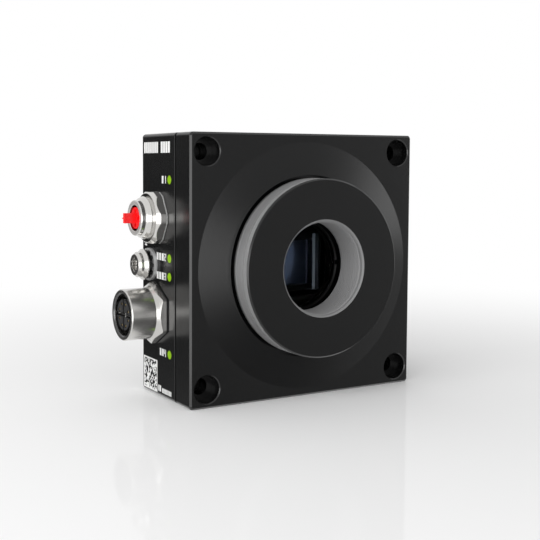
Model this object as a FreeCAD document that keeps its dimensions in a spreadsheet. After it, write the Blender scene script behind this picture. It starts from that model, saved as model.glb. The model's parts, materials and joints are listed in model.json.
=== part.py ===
import FreeCAD, Part
import Sketcher
import math
import os
from types import SimpleNamespace

# A machine vision camera: a square housing in two halves, a screwed-in lens adapter,
# an image sensor on a stack of boards and a side panel with two round connectors.
# The origin is the centre of the lens flange. Light comes in along +Y and +Z is up.

Vector = FreeCAD.Vector

doc = FreeCAD.newDocument("camera")
sheet = doc.addObject("Spreadsheet::Sheet", "sizes")

# Every size in millimetres: its word in the sheet, its value and what it measures.
SIZES = [
    ("body_width", 72.0, "housing, side to side"),
    ("body_height", 72.0, "housing, bottom to top"),
    ("corner_radius", 1.0, "rounding of the four long edges"),
    ("edge_bevel", 0.5, "bevel round the front and rear faces"),
    ("seam_bevel", 0.2, "bevel on both sides of the seam"),
    ("front_depth", 8.4, "front half, face to seam"),
    ("gasket_depth", 0.4, "flat seal between the halves"),
    ("gasket_inset", 0.35, "seal set back from the outside"),
    ("rear_depth", 20.7, "rear half, seam to back"),
    ("wall", 2.6, "wall of the rear half"),
    ("post_inset", 4.6, "corner post, from hole axis to its flat sides"),
    ("hole_inset", 5.0, "mounting holes, from the housing's sides"),
    ("hole_radius", 2.25, "clearance hole for an M4 screw"),
    ("head_pocket_radius", 3.7, "counterbore for the screw head"),
    ("head_pocket_depth", 4.6, "depth of that counterbore"),
    ("head_pocket_bevel", 0.25, "bevel at its mouth"),
    ("cone_margin", 2.3, "from the foot of the raised cone to the housing's nearest side"),
    ("cone_rise", 1.3, "height of the cone above the face"),
    ("well_radius", 24.8, "ring-shaped gap round the adapter"),
    ("well_depth", 0.9, "depth of that gap below the face"),
    ("seat_radius", 22.4, "collar that the adapter seats on"),
    ("seat_rise", 1.7, "height of the collar above the face"),
    ("mount_radius", 21.0, "screw thread that takes the adapter"),
    ("thread_gap", 0.1, "play between mating threads"),
    ("adapter_rise", 8.4, "lens flange above the face"),
    ("adapter_radius", 24.0, "outside of the adapter"),
    ("adapter_bevel", 0.4, "bevel round the adapter's front"),
    ("lens_radius", 12.7, "one-inch lens thread"),
    ("lens_thread_depth", 10.2, "length of the lens thread"),
    ("lens_bevel", 0.4, "bevel at the mouth of the lens thread"),
    ("groove_depth", 0.12, "fine grip grooves round the adapter"),
    ("groove_pitch", 0.45, "from one grip groove to the next"),
    ("groove_count", 3, "number of grip grooves"),
    ("lock_depth", 0.8, "thickness of the lock ring"),
    ("lock_bevel", 0.12, "bevels of lock ring and adapter foot"),
    ("seal_cord", 0.4, "cord radius of the adapter's seal ring"),
    ("filter_radius", 13.6, "cover glass over the sensor"),
    ("filter_depth", 1.0, "thickness of the cover glass"),
    ("filter_gap", 0.2, "play round the cover glass"),
    ("filter_recess", 2.9, "from adapter end to cover glass"),
    ("keeper_depth", 1.0, "ring that holds the cover glass"),
    ("keeper_lip", 1.4, "width of that ring over the cover glass"),
    ("keeper_bevel", 0.4, "bevel inside that ring"),
    ("keeper_slot", 1.2, "spanner slots in that ring"),
    ("filter_ledge", 1.1, "ledge that the cover glass lies on"),
    ("flange_focus", 17.526, "lens flange to image plane"),
    ("package_width", 27.0, "sensor package"),
    ("package_height", 22.0, "sensor package"),
    ("package_depth", 2.8, "sensor package"),
    ("package_gap", 0.3, "play round the package and above it"),
    ("window_width", 21.0, "opening in the sensor package"),
    ("window_height", 16.2, "opening in the sensor package"),
    ("shelf_drop", 0.1, "shelf for the bond wires, below the chip's face"),
    ("die_pocket_depth", 1.6, "pocket that the silicon chip lies in, below the package's top"),
    ("die_gap", 0.3, "play round the silicon chip"),
    ("lid_width", 23.6, "glass lid of the package"),
    ("lid_height", 18.8, "glass lid of the package"),
    ("lid_depth", 0.5, "glass lid of the package"),
    ("die_width", 15.6, "silicon chip"),
    ("die_height", 12.4, "silicon chip"),
    ("die_below_top", 0.926, "package top to image plane"),
    ("board_depth", 1.6, "thickness of every circuit board"),
    ("board_screw_inset", 13.9, "screws of the stacked boards, from the walls"),
    ("sensor_board_gap", 0.9, "sensor board, from the connector board"),
    ("board_end_margin", 4.5, "sensor board, from those screws to its ends"),
    ("board_hole_radius", 1.4, "clearance hole for an M2.5 screw"),
    ("boss_radius", 2.6, "pillars under the boards"),
    ("stud_radius", 1.2, "M2.5 thread"),
    ("stud_length", 4.0, "threaded end of a spacer"),
    ("spacer_flats", 5.0, "hexagon spacers between the boards"),
    ("spacer_length", 6.0, "hexagon spacers between the boards"),
    ("processor_board_gap", 1.4, "processor board, from the connector board"),
    ("processor_wall_gap", 1.9, "processor board, from the right wall"),
    ("processor_screw_gap", 0.6, "processor board, from the connector board's screw heads"),
    ("small_head_radius", 2.3, "head of an M2.5 screw"),
    ("small_head_depth", 1.7, "head of an M2.5 screw"),
    ("small_screw_bite", 3.5, "thread of an M2.5 screw in a spacer or boss"),
    ("small_bore_spare", 0.5, "spare depth below an M2.5 thread"),
    ("small_recess_radius", 1.0, "drive recess of that screw"),
    ("small_recess_depth", 0.8, "drive recess of that screw"),
    ("link_width", 20.0, "plug pair between sensor and processor boards"),
    ("link_height", 5.0, "the same plug pair"),
    ("link_drop", 16.0, "the same plug pair, below the axis"),
    ("processor_size", 19.0, "processor chip"),
    ("processor_depth", 2.2, "processor chip"),
    ("memory_width", 9.0, "memory chips"),
    ("memory_height", 13.0, "memory chips"),
    ("memory_depth", 1.1, "memory chips"),
    ("memory_gap", 0.5, "memory chips, from the processor chip"),
    ("memory_inset", 8.0, "memory chips, from the right board screws"),
    ("coil_size", 7.0, "power coil"),
    ("coil_depth", 3.5, "power coil"),
    ("coil_inset", 4.5, "power coil, from the board's lower edge"),
    ("coil_shift", 9.5, "power coil, to the left of the axis"),
    ("heat_boss_size", 22.0, "raised pad inside the back"),
    ("heat_pad_depth", 1.5, "soft pad between that raised pad and the processor chip"),
    ("panel_board_gap", 0.9, "connector board, from the corner posts"),
    ("panel_board_margin", 7.0, "connector board, from top and bottom of the housing"),
    ("panel_board_front_gap", 1.9, "connector board, behind the rear half's open edge"),
    ("panel_board_back_gap", 0.5, "connector board, from the back wall"),
    ("panel_screw_inset", 3.6, "connector board screws, from the board's ends"),
    ("side_plug_width", 5.0, "plug between connector and processor boards"),
    ("side_plug_depth", 3.0, "the same plug"),
    ("side_plug_height", 16.0, "the same plug"),
    ("closing_side_inset", 16.0, "closing screws, from the housing's sides"),
    ("closing_inset", 5.0, "closing screws, from top and bottom"),
    ("closing_radius", 1.5, "M3 thread"),
    ("closing_gap", 0.15, "play round the M3 screw"),
    ("closing_post_radius", 3.3, "posts round the closing screws"),
    ("closing_head_radius", 2.75, "head of the M3 screw"),
    ("closing_head_depth", 3.0, "head of the M3 screw"),
    ("closing_head_gap", 0.25, "play round that head and above it"),
    ("closing_bite", 5.5, "length of M3 thread in the front half"),
    ("closing_drive_flats", 2.5, "hexagon socket of the M3 screw"),
    ("closing_drive_depth", 1.5, "hexagon socket of the M3 screw"),
    ("panel_inset", 8.9, "connector axes, from the back"),
    ("connector_offset", 13.1, "connector axes above and below the lens axis"),
    ("connector_thread", 6.0, "M12 thread"),
    ("connector_boss_radius", 8.0, "pad inside the wall round that thread"),
    ("connector_boss_rise", 2.2, "height of that pad"),
    ("connector_tail_end", 0.8, "threaded tail of a connector, beyond that pad"),
    ("seal_depth", 0.35, "seal under each connector"),
    ("power_flats", 14.0, "power connector, across flats"),
    ("power_corner_radius", 7.45, "power connector, turned corners"),
    ("power_hex_depth", 2.6, "power connector, hexagon"),
    ("power_hex_corner", 1.6, "power connector, hexagon left at the corners"),
    ("power_hex_face", 6.65, "power connector, round face of the hexagon"),
    ("power_neck_radius", 5.55, "power connector, thread relief"),
    ("power_neck_depth", 0.8, "power connector, thread relief"),
    ("power_thread_radius", 5.85, "power connector, foot of the tapered thread"),
    ("power_thread_end", 5.4, "power connector, end of the tapered thread"),
    ("power_thread_depth", 1.0, "power connector, tapered thread"),
    ("power_thread_bevel", 0.35, "power connector, bevel from thread to lip"),
    ("power_lip_radius", 4.87, "power connector, lip"),
    ("power_lip_depth", 1.35, "power connector, lip"),
    ("power_lip_bevel", 0.25, "power connector, outer bevel of the lip"),
    ("power_bore_radius", 3.5, "power connector, bore"),
    ("power_bore_bevel", 0.12, "power connector, bevel of the bore"),
    ("pin_radius", 0.5, "contact pins"),
    ("pin_circle", 1.9, "circle through the pins"),
    ("pin_reach", 4.4, "pins above the wall"),
    ("pin_count", 4, "number of pins"),
    ("insert_gap", 0.08, "play of the plastic inserts"),
    ("power_insert_top", 1.0, "power insert above the wall"),
    ("plug_radius", 2.9, "dust plug"),
    ("plug_foot", 1.1, "dust plug, underside above the wall"),
    ("plug_top", 6.1, "dust plug, face above the wall"),
    ("plug_tab_length", 3.3, "grip tab of the dust plug"),
    ("plug_tab_height", 2.7, "grip tab of the dust plug"),
    ("plug_tab_width", 1.3, "grip tab of the dust plug"),
    ("plug_nib_radius", 0.42, "mould nib on the tab"),
    ("plug_nib_length", 0.7, "mould nib on the tab"),
    ("plug_dimple_radius", 0.55, "dimples of the dust plug"),
    ("plug_dimple_depth", 0.4, "dimples of the dust plug"),
    ("plug_grip", 0.05, "play between pins and dust plug"),
    ("plug_core", 1.0, "solid part behind the dust plug's face"),
    ("data_flats", 15.0, "data connector, across flats"),
    ("data_corner_radius", 8.5, "data connector, turned corners"),
    ("data_hex_depth", 2.7, "data connector, hexagon"),
    ("data_hex_corner", 1.1, "data connector, hexagon left at the corners"),
    ("data_hollow_radius", 7.55, "data connector, foot of the hollow round the shell"),
    ("data_hollow_height", 1.75, "data connector, hexagon left at that hollow"),
    ("data_shell_radius", 7.0, "data connector, shell"),
    ("data_shell_top", 10.15, "data connector, shell above the wall"),
    ("data_shell_bevel", 0.25, "data connector, outer bevel of the rim"),
    ("data_bore_radius", 5.65, "data connector, bore"),
    ("data_mouth_radius", 6.0, "data connector, mouth"),
    ("data_mouth_depth", 0.35, "data connector, bevel from mouth to bore"),
    ("data_insert_radius", 4.2, "data insert"),
    ("data_insert_foot", 5.2, "wide foot of the data insert"),
    ("data_insert_top", 9.7, "data insert above the wall"),
    ("data_foot_top", 2.4, "wide foot above the wall"),
    ("shield_half", 0.55, "half the width of the slots in the insert"),
    ("shield_depth", 4.0, "depth of those slots"),
    ("shield_wall", 0.3, "thickness of the cross shield"),
    ("shield_below", 0.5, "shield below the face of the insert"),
    ("contact_radius", 0.5, "contact sockets"),
    ("contact_wall", 0.15, "wall of a contact tube"),
    ("contact_near", 1.2, "contact sockets, smaller offset from the axis"),
    ("contact_far", 2.9, "contact sockets, larger offset from the axis"),
    ("contact_recess", 0.3, "contacts below the face of the insert"),
    ("contact_depth", 5.0, "length of the contact tubes in the insert"),
    ("earth_inset", 5.5, "earth screw, from the back"),
    ("earth_rise", 0.0, "earth screw above the lens axis"),
    ("earth_thread", 2.0, "M4 thread"),
    ("earth_length", 5.6, "thread of the earth screw in the wall"),
    ("earth_boss_radius", 4.2, "pad inside the wall round that thread"),
    ("earth_boss_rise", 3.8, "height of that pad"),
    ("earth_washer_radius", 4.5, "flat washer"),
    ("earth_washer_depth", 0.8, "flat washer"),
    ("earth_washer_hole", 2.15, "hole of both washers"),
    ("tooth_root", 3.0, "toothed washer, inside its teeth"),
    ("tooth_radius", 3.9, "toothed washer"),
    ("tooth_depth", 1.45, "toothed washer, with its raised teeth"),
    ("tooth_width", 0.9, "toothed washer"),
    ("tooth_count", 10, "number of teeth"),
    ("earth_flange_radius", 4.3, "flange under the screw head"),
    ("earth_flange_depth", 0.3, "rim of that flange"),
    ("earth_flange_slope", 0.85, "cone from that rim to the head"),
    ("earth_head_radius", 3.5, "head above its flange"),
    ("earth_head_depth", 0.8, "straight part of the head"),
    ("earth_face_radius", 2.9, "flat face of the head"),
    ("earth_face_depth", 0.72, "bevel from the head to its face"),
    ("drive_core", 1.45, "six-lobed drive recess, core"),
    ("drive_lobe", 0.5, "six-lobed drive recess, lobes"),
    ("drive_depth", 1.4, "six-lobed drive recess"),
    ("drive_count", 6, "number of lobes"),
    ("light_setback", 3.35, "status lights, behind the rear half's open edge"),
    ("light_radius", 1.25, "status lights"),
    ("light_gap", 0.05, "play of the light pipes"),
    ("light_shoulder", 1.7, "collar of a light pipe inside the wall"),
    ("light_shoulder_depth", 1.0, "collar of a light pipe inside the wall"),
    ("light_inset", 12.5, "outer lights, from top and bottom of the housing"),
    ("light_near", 2.5, "inner lights above and below the lens axis"),
    ("led_width", 1.6, "light chips"),
    ("led_height", 0.8, "light chips"),
    ("led_depth", 0.7, "light chips"),
    ("led_gap", 0.2, "from light chip to light pipe"),
]


class Size:
    """A length that knows its formula in the sheet, so sums of sizes stay bound to it."""

    def __init__(self, text, value):
        self.text = text
        self.value = value

    @staticmethod
    def of(other):
        if isinstance(other, Size):
            return other
        return Size(f"({other:.9g})", other)

    def join(self, sign, other, value):
        return Size(f"({self.text} {sign} {other.text})", value)

    def __add__(self, other):
        other = Size.of(other)
        return self.join("+", other, self.value + other.value)

    def __sub__(self, other):
        other = Size.of(other)
        return self.join("-", other, self.value - other.value)

    def __mul__(self, other):
        other = Size.of(other)
        return self.join("*", other, self.value * other.value)

    def __truediv__(self, other):
        other = Size.of(other)
        return self.join("/", other, self.value / other.value)

    def __radd__(self, other):
        return Size.of(other) + self

    def __rsub__(self, other):
        return Size.of(other) - self

    def __rmul__(self, other):
        return Size.of(other) * self

    def __neg__(self):
        return Size(f"(-{self.text})", -self.value)

    def or_less(self, other):
        return Size(f"min({self.text}; {other.text})", min(self.value, other.value))


zero = Size("0", 0.0)
for row, (word, value, meaning) in enumerate(SIZES, start=1):
    sheet.set(f"A{row}", word)
    sheet.set(f"B{row}", str(value))
    sheet.set(f"C{row}", meaning)
    sheet.setAlias(f"B{row}", word)
doc.recompute()
dim = SimpleNamespace(**{word: Size("sizes." + word, float(value)) for word, value, meaning in SIZES})

# Two local frames. In the lens frame +Z looks out through the lens and +Y is up.
# In the panel frame +Z looks out of the left wall, +X is to the front and +Y is up.
lens_turn = FreeCAD.Rotation(Vector(1, 0, 0), 90)
panel_turn = FreeCAD.Rotation(Vector(0, -1, 0), Vector(0, 0, 1), Vector(-1, 0, 0), "ZXY")

# Levels along the lens axis, in the lens frame.
face = -dim.adapter_rise
seam = face - dim.front_depth
gasket_back = seam - dim.gasket_depth
back = gasket_back - dim.rear_depth
floor = back + dim.wall
image_plane = -dim.flange_focus
package_top = image_plane + dim.die_below_top
package_back = package_top - dim.package_depth
sensor_board_back = package_back - dim.board_depth
processor_board_front = sensor_board_back - dim.spacer_length
processor_board_back = processor_board_front - dim.board_depth
chip_back = processor_board_back - dim.processor_depth
heat_boss_top = chip_back - dim.heat_pad_depth
adapter_foot = face + dim.seat_rise + dim.lock_depth
adapter_end = -dim.lens_thread_depth
mount_end = adapter_end - 2 * dim.seal_cord
glass_top = adapter_end - dim.filter_recess
glass_back = glass_top - dim.filter_depth
keeper_opening = dim.filter_radius - dim.keeper_lip
light_opening = dim.filter_radius - dim.filter_ledge
half_width = dim.body_width / 2
half_height = dim.body_height / 2
hole_x = half_width - dim.hole_inset
hole_y = half_height - dim.hole_inset
cone_radius = half_width.or_less(half_height) - dim.cone_margin
closing_offset = half_width - dim.closing_side_inset
closing_height = half_height - dim.closing_inset
cavity_half_width = half_width - dim.wall
cavity_half_height = half_height - dim.wall
board_screw_x = cavity_half_width - dim.board_screw_inset
board_screw_y = cavity_half_height - dim.board_screw_inset

# Depths behind the face, for what sits on the left wall.
edge_depth = dim.front_depth + dim.gasket_depth
case_depth = edge_depth + dim.rear_depth
panel_depth = case_depth - dim.panel_inset
earth_depth = case_depth - dim.earth_inset
light_depth = edge_depth + dim.light_setback
panel_board_front = edge_depth + dim.panel_board_front_gap
panel_board_back = case_depth - dim.wall - dim.panel_board_back_gap

# Levels and heights of what sits on the left wall, in the panel frame.
connector_tail = dim.wall + dim.connector_boss_rise + dim.connector_tail_end
panel_board_inset = dim.hole_inset + dim.post_inset + dim.panel_board_gap
panel_board_outside = -panel_board_inset
panel_board_inside = panel_board_outside - dim.board_depth
panel_board_half = half_height - dim.panel_board_margin
panel_screw_offset = panel_board_half - dim.panel_screw_inset
processor_board_half = panel_screw_offset - dim.small_head_radius - dim.processor_screw_gap
light_far = half_height - dim.light_inset
small_bore = dim.small_screw_bite + dim.small_bore_spare

pieces = []


def bind(thing, path, size):
    """Ties one property or constraint of thing to the sheet."""
    thing.setExpression(path, size.text)


def put(piece, turn, x=zero, y=zero, z=zero):
    """Turns a piece into its frame and ties its place in the camera's frame to the sheet."""
    piece.Placement = FreeCAD.Placement(Vector(x.value, y.value, z.value), turn)
    for axis, size in (("x", x), ("y", y), ("z", z)):
        bind(piece, f".Placement.Base.{axis}", size)


def new_body(label):
    piece = doc.addObject("PartDesign::Body", label)
    piece.Label = label
    pieces.append(piece)
    return piece


def lens_body(label):
    """A body in the lens frame, with its origin at the lens flange."""
    piece = new_body(label)
    put(piece, lens_turn)
    return piece


def panel_body(label, depth, height):
    """A body in the panel frame, on the left wall, depth behind the face and height above the axis."""
    piece = new_body(label)
    put(piece, panel_turn, -half_width, dim.adapter_rise + depth, height)
    return piece


def origin_plane(piece, role):
    return next(item for item in piece.Origin.OriginFeatures if item.Role == role)


def new_sketch(piece, role="XY_Plane", level=zero):
    """A sketch on one of the body's own planes, moved along its normal by level."""
    sketch = piece.newObject("Sketcher::SketchObject", piece.Name + "_sketch")
    sketch.AttachmentSupport = [(origin_plane(piece, role), "")]
    sketch.MapMode = "FlatFace"
    bind(sketch, ".AttachmentOffset.Base.z", level)
    return sketch


def hold(sketch, geometry, point, x, y):
    """Fixes one point of the sketch at x, y from the sketch origin."""
    for kind, axis, size in (("DistanceX", -2, x), ("DistanceY", -1, y)):
        if size is zero:
            sketch.addConstraint(Sketcher.Constraint("PointOnObject", geometry, point, axis))
        else:
            index = sketch.addConstraint(
                Sketcher.Constraint(kind, -1, 1, geometry, point, size.value))
            bind(sketch, f"Constraints[{index}]", size)


def draw_outline(sketch, corners):
    """Closes straight lines through the corners."""
    first = sketch.GeometryCount
    count = len(corners)
    spots = [Vector(x.value, y.value, 0) for x, y in corners]
    for i in range(count):
        sketch.addGeometry(Part.LineSegment(spots[i], spots[(i + 1) % count]), False)
    for i in range(count):
        after = first + (i + 1) % count
        sketch.addConstraint(Sketcher.Constraint("Coincident", first + i, 2, after, 1))
    for i, (x, y) in enumerate(corners):
        hold(sketch, first + i, 1, x, y)


def draw_rectangle(sketch, left, right, bottom, top):
    draw_outline(sketch, [(left, bottom), (right, bottom), (right, top), (left, top)])


def draw_block(sketch, width, height, x=zero, y=zero):
    """A rectangle centred on x, y."""
    draw_rectangle(sketch, x - width / 2, x + width / 2, y - height / 2, y + height / 2)


def draw_circle(sketch, radius, x=zero, y=zero):
    index = sketch.addGeometry(
        Part.Circle(Vector(x.value, y.value, 0), Vector(0, 0, 1), radius.value), False)
    hold(sketch, index, 3, x, y)
    held = sketch.addConstraint(Sketcher.Constraint("Radius", index, radius.value))
    bind(sketch, f"Constraints[{held}]", radius)


def draw_hexagon(sketch, flats, first_angle, x=zero, y=zero):
    """A hexagon across flats round x, y, with its first corner at first_angle degrees."""
    corner = flats / math.sqrt(3)
    angles = [math.radians(first_angle + 60 * i) for i in range(6)]
    draw_outline(sketch, [(x + corner * math.cos(a), y + corner * math.sin(a)) for a in angles])


def draw_cavity(sketch):
    """The inside outline of the housing: a square that leaves a post at each corner."""
    wide, high = cavity_half_width, cavity_half_height
    post_x, post_y = hole_x - dim.post_inset, hole_y - dim.post_inset
    quarter = [(wide, post_y), (post_x, post_y), (post_x, high)]
    corners = list(quarter)
    corners += [(-x, y) for x, y in reversed(quarter)]
    corners += [(-x, -y) for x, y in quarter]
    corners += [(x, -y) for x, y in reversed(quarter)]
    draw_outline(sketch, corners)


def corners_of(x, y):
    """The four places at plus and minus x and y."""
    return [(x, y), (-x, y), (-x, -y), (x, -y)]


def add_feature(piece, kind, sketch):
    feature = piece.newObject("PartDesign::" + kind, f"{piece.Name}_{kind.lower()}")
    feature.Profile = sketch
    return feature


def pad(piece, sketch, length, forward=True):
    """Adds the sketch's area, along its plane's normal or against it."""
    feature = add_feature(piece, "Pad", sketch)
    bind(feature, "Length", length)
    feature.Reversed = not forward
    return feature


def pocket(piece, sketch, length, forward=False):
    """Removes the sketch's area, against its plane's normal or along it."""
    feature = add_feature(piece, "Pocket", sketch)
    bind(feature, "Length", length)
    feature.Reversed = forward
    return feature


def turn_on(piece, corners, kind="Revolution"):
    """Turns an outline of radius and height round the piece's own Z axis."""
    sketch = new_sketch(piece, "XZ_Plane")
    draw_outline(sketch, corners)
    feature = add_feature(piece, kind, sketch)
    feature.ReferenceAxis = (sketch, ["V_Axis"])
    feature.Angle = 360
    return feature


def turn_off(piece, corners):
    """Turns away an outline of radius and height round the piece's own Z axis."""
    return turn_on(piece, corners, "Groove")


def circle_pattern(piece, originals, count):
    """Repeats features round the piece's own Z axis."""
    pattern = piece.newObject("PartDesign::PolarPattern", piece.Name + "_pattern")
    pattern.Originals = originals
    pattern.Axis = (origin_plane(piece, "Z_Axis"), [""])
    pattern.Angle = 360
    if isinstance(count, Size):
        bind(pattern, "Occurrences", count)
    else:
        pattern.Occurrences = count
    piece.Tip = pattern
    return pattern


def dress(piece, kind, size, test):
    """Rounds or bevels the edges of the newest feature whose bounding box passes the test."""
    doc.recompute()
    base = piece.Tip
    names = [f"Edge{i}" for i, edge in enumerate(base.Shape.Edges, start=1) if test(edge.BoundBox)]
    feature = piece.newObject("PartDesign::" + kind, f"{piece.Name}_{kind.lower()}")
    feature.Base = (base, names)
    bind(feature, "Radius" if kind == "Fillet" else "Size", size)
    return feature


def near(a, b):
    return abs(a - b) < 1e-4


def at_body_corner(box):
    """True for an edge that runs along the depth at a corner of the housing's outline."""
    return near(abs(box.XMin), half_width.value) and near(abs(box.YMin), half_height.value) \
        and near(box.XLength, 0) and near(box.YLength, 0)


def on_body_outline(level):
    """A test for the edges round the housing's outline at one level."""
    def test(box):
        flat = near(box.ZMin, level.value) and near(box.ZLength, 0)
        at_side = near(max(-box.XMin, box.XMax), half_width.value)
        at_top = near(max(-box.YMin, box.YMax), half_height.value)
        return flat and (at_side or at_top)
    return test


def box_piece(label, turn, size, low):
    """A plain block: its three lengths and its lowest corner, both in the turned frame."""
    piece = doc.addObject("Part::Box", label)
    piece.Label = label
    for name, length in zip(("Length", "Width", "Height"), size):
        bind(piece, name, length)
    place_in_frame(piece, turn, low)
    pieces.append(piece)
    return piece


def place_in_frame(piece, turn, spot):
    """Puts a piece at a spot given in the lens frame or the panel frame."""
    x, y, z = spot
    if turn is lens_turn:
        put(piece, turn, x, -z, y)
    else:
        put(piece, turn, -half_width - z, dim.adapter_rise - x, y)


def front_housing():
    """The front half: a thick plate with a raised cone and a threaded well for the adapter."""
    piece = lens_body("front_housing")
    plate = new_sketch(piece, level=seam)
    draw_block(plate, dim.body_width, dim.body_height)
    pad(piece, plate, dim.front_depth)
    dress(piece, "Fillet", dim.corner_radius, at_body_corner)
    dress(piece, "Chamfer", dim.edge_bevel, on_body_outline(face))
    dress(piece, "Chamfer", dim.seam_bevel, on_body_outline(seam))

    root = face - dim.well_depth
    turn_on(piece, [(dim.well_radius, root), (cone_radius, root),
                    (cone_radius, face), (dim.well_radius, face + dim.cone_rise)])
    turn_on(piece, [(dim.mount_radius, root), (dim.seat_radius, root),
                    (dim.seat_radius, face + dim.seat_rise), (dim.mount_radius, face + dim.seat_rise)])
    turn_off(piece, [(dim.seat_radius, root), (dim.well_radius, root),
                     (dim.well_radius, zero), (dim.seat_radius, zero)])
    glass_pocket = dim.filter_radius + dim.filter_gap
    turn_off(piece, [(zero, seam), (light_opening, seam), (light_opening, glass_back),
                     (glass_pocket, glass_back), (glass_pocket, mount_end),
                     (dim.mount_radius, mount_end), (dim.mount_radius, zero), (zero, zero)])

    holes = new_sketch(piece, level=face)
    heads = new_sketch(piece, level=face)
    for x, y in corners_of(hole_x, hole_y):
        draw_circle(holes, dim.hole_radius, x, y)
        draw_circle(heads, dim.head_pocket_radius, x, y)
    pocket(piece, holes, dim.front_depth)
    pocket(piece, heads, dim.head_pocket_depth)

    def at_counterbore(box):
        return near(box.ZMin, face.value) and near(box.ZLength, 0) \
            and near(box.XLength, 2 * dim.head_pocket_radius.value)
    dress(piece, "Chamfer", dim.head_pocket_bevel, at_counterbore)

    recess = new_sketch(piece, level=seam)
    draw_block(recess, dim.package_width + 2 * dim.package_gap, dim.package_height + 2 * dim.package_gap)
    pocket(piece, recess, package_top + dim.package_gap - seam, forward=True)

    pillars = new_sketch(piece, level=seam)
    pilots = new_sketch(piece, level=package_back)
    for x, y in corners_of(board_screw_x, board_screw_y):
        draw_circle(pillars, dim.boss_radius, x, y)
        draw_circle(pilots, dim.stud_radius, x, y)
    pad(piece, pillars, seam - package_back, forward=False)
    pocket(piece, pilots, dim.stud_length + dim.small_bore_spare, forward=True)

    closing = new_sketch(piece, level=seam)
    for x, y in corners_of(closing_offset, closing_height):
        draw_circle(closing, dim.closing_radius, x, y)
    pocket(piece, closing, dim.closing_bite, forward=True)
    return piece


def housing_gasket():
    """The flat seal in the seam, cut round the posts and the holes."""
    piece = lens_body("housing_gasket")
    sheet_sketch = new_sketch(piece, level=gasket_back)
    draw_block(sheet_sketch, dim.body_width - 2 * dim.gasket_inset, dim.body_height - 2 * dim.gasket_inset)
    draw_cavity(sheet_sketch)
    for x, y in corners_of(hole_x, hole_y):
        draw_circle(sheet_sketch, dim.hole_radius, x, y)
    pad(piece, sheet_sketch, dim.gasket_depth)
    ears = new_sketch(piece, level=gasket_back)
    for x, y in corners_of(closing_offset, closing_height):
        draw_circle(ears, dim.closing_post_radius, x, y)
    pad(piece, ears, dim.gasket_depth)
    holes = new_sketch(piece, level=gasket_back)
    for x, y in corners_of(closing_offset, closing_height):
        draw_circle(holes, dim.closing_radius + dim.closing_gap, x, y)
    pocket(piece, holes, dim.gasket_depth, forward=True)
    return piece


def rear_housing():
    """The rear half: a box open to the front, with posts, bosses and the connector panel."""
    piece = lens_body("rear_housing")
    block = new_sketch(piece, level=back)
    draw_block(block, dim.body_width, dim.body_height)
    pad(piece, block, dim.rear_depth)
    dress(piece, "Fillet", dim.corner_radius, at_body_corner)
    dress(piece, "Chamfer", dim.edge_bevel, on_body_outline(back))
    dress(piece, "Chamfer", dim.seam_bevel, on_body_outline(gasket_back))
    cavity = new_sketch(piece, level=gasket_back)
    draw_cavity(cavity)
    pocket(piece, cavity, dim.rear_depth - dim.wall)

    posts = new_sketch(piece, level=floor)
    for x, y in corners_of(closing_offset, closing_height):
        draw_circle(posts, dim.closing_post_radius, x, y)
    pad(piece, posts, gasket_back - floor)
    heat_boss = new_sketch(piece, level=floor)
    draw_block(heat_boss, dim.heat_boss_size, dim.heat_boss_size)
    pad(piece, heat_boss, heat_boss_top - floor)

    add_panel_bosses(piece)
    cut_panel_holes(piece)

    holes = new_sketch(piece, level=back)
    for x, y in corners_of(hole_x, hole_y):
        draw_circle(holes, dim.hole_radius, x, y)
    for x, y in corners_of(closing_offset, closing_height):
        draw_circle(holes, dim.closing_radius + dim.closing_gap, x, y)
    pocket(piece, holes, dim.rear_depth, forward=True)
    heads = new_sketch(piece, level=back)
    for x, y in corners_of(closing_offset, closing_height):
        draw_circle(heads, dim.closing_head_radius + dim.closing_head_gap, x, y)
    pocket(piece, heads, dim.closing_head_depth + dim.closing_head_gap, forward=True)
    return piece


def panel_spots():
    """Bosses inside the left wall: radius, rise, height above the axis and depth behind the face."""
    board_rise = panel_board_inset - dim.wall
    return [
        (dim.connector_boss_radius, dim.connector_boss_rise, dim.connector_offset, panel_depth),
        (dim.connector_boss_radius, dim.connector_boss_rise, -dim.connector_offset, panel_depth),
        (dim.earth_boss_radius, dim.earth_boss_rise, dim.earth_rise, earth_depth),
        (dim.boss_radius, board_rise, panel_screw_offset, panel_depth),
        (dim.boss_radius, board_rise, -panel_screw_offset, panel_depth),
    ]


def add_panel_bosses(piece):
    for radius, rise, height, depth in panel_spots():
        sketch = new_sketch(piece, "YZ_Plane", -cavity_half_width)
        draw_circle(sketch, radius, height, face - depth)
        pad(piece, sketch, rise)


def cut_panel_holes(piece):
    """Threads for the connectors and the earth screw, holes for the lights and the board screws."""
    def bore(radius, height, depth, start, length):
        sketch = new_sketch(piece, "YZ_Plane", start)
        draw_circle(sketch, radius, height, face - depth)
        pocket(piece, sketch, length, forward=True)

    wall_outside = -half_width
    for height in (dim.connector_offset, -dim.connector_offset):
        bore(dim.connector_thread, height, panel_depth, wall_outside, connector_tail)
    bore(dim.earth_thread, dim.earth_rise, earth_depth, wall_outside,
         dim.wall + dim.earth_boss_rise)
    for height in light_heights():
        bore(dim.light_radius + dim.light_gap, height, light_depth, wall_outside, dim.wall)
    screw_bore_end = panel_board_inset - small_bore - half_width
    for height in (panel_screw_offset, -panel_screw_offset):
        bore(dim.stud_radius, height, panel_depth, screw_bore_end, small_bore)


def light_heights():
    return [light_far, dim.light_near, -dim.light_near, -light_far]


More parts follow.
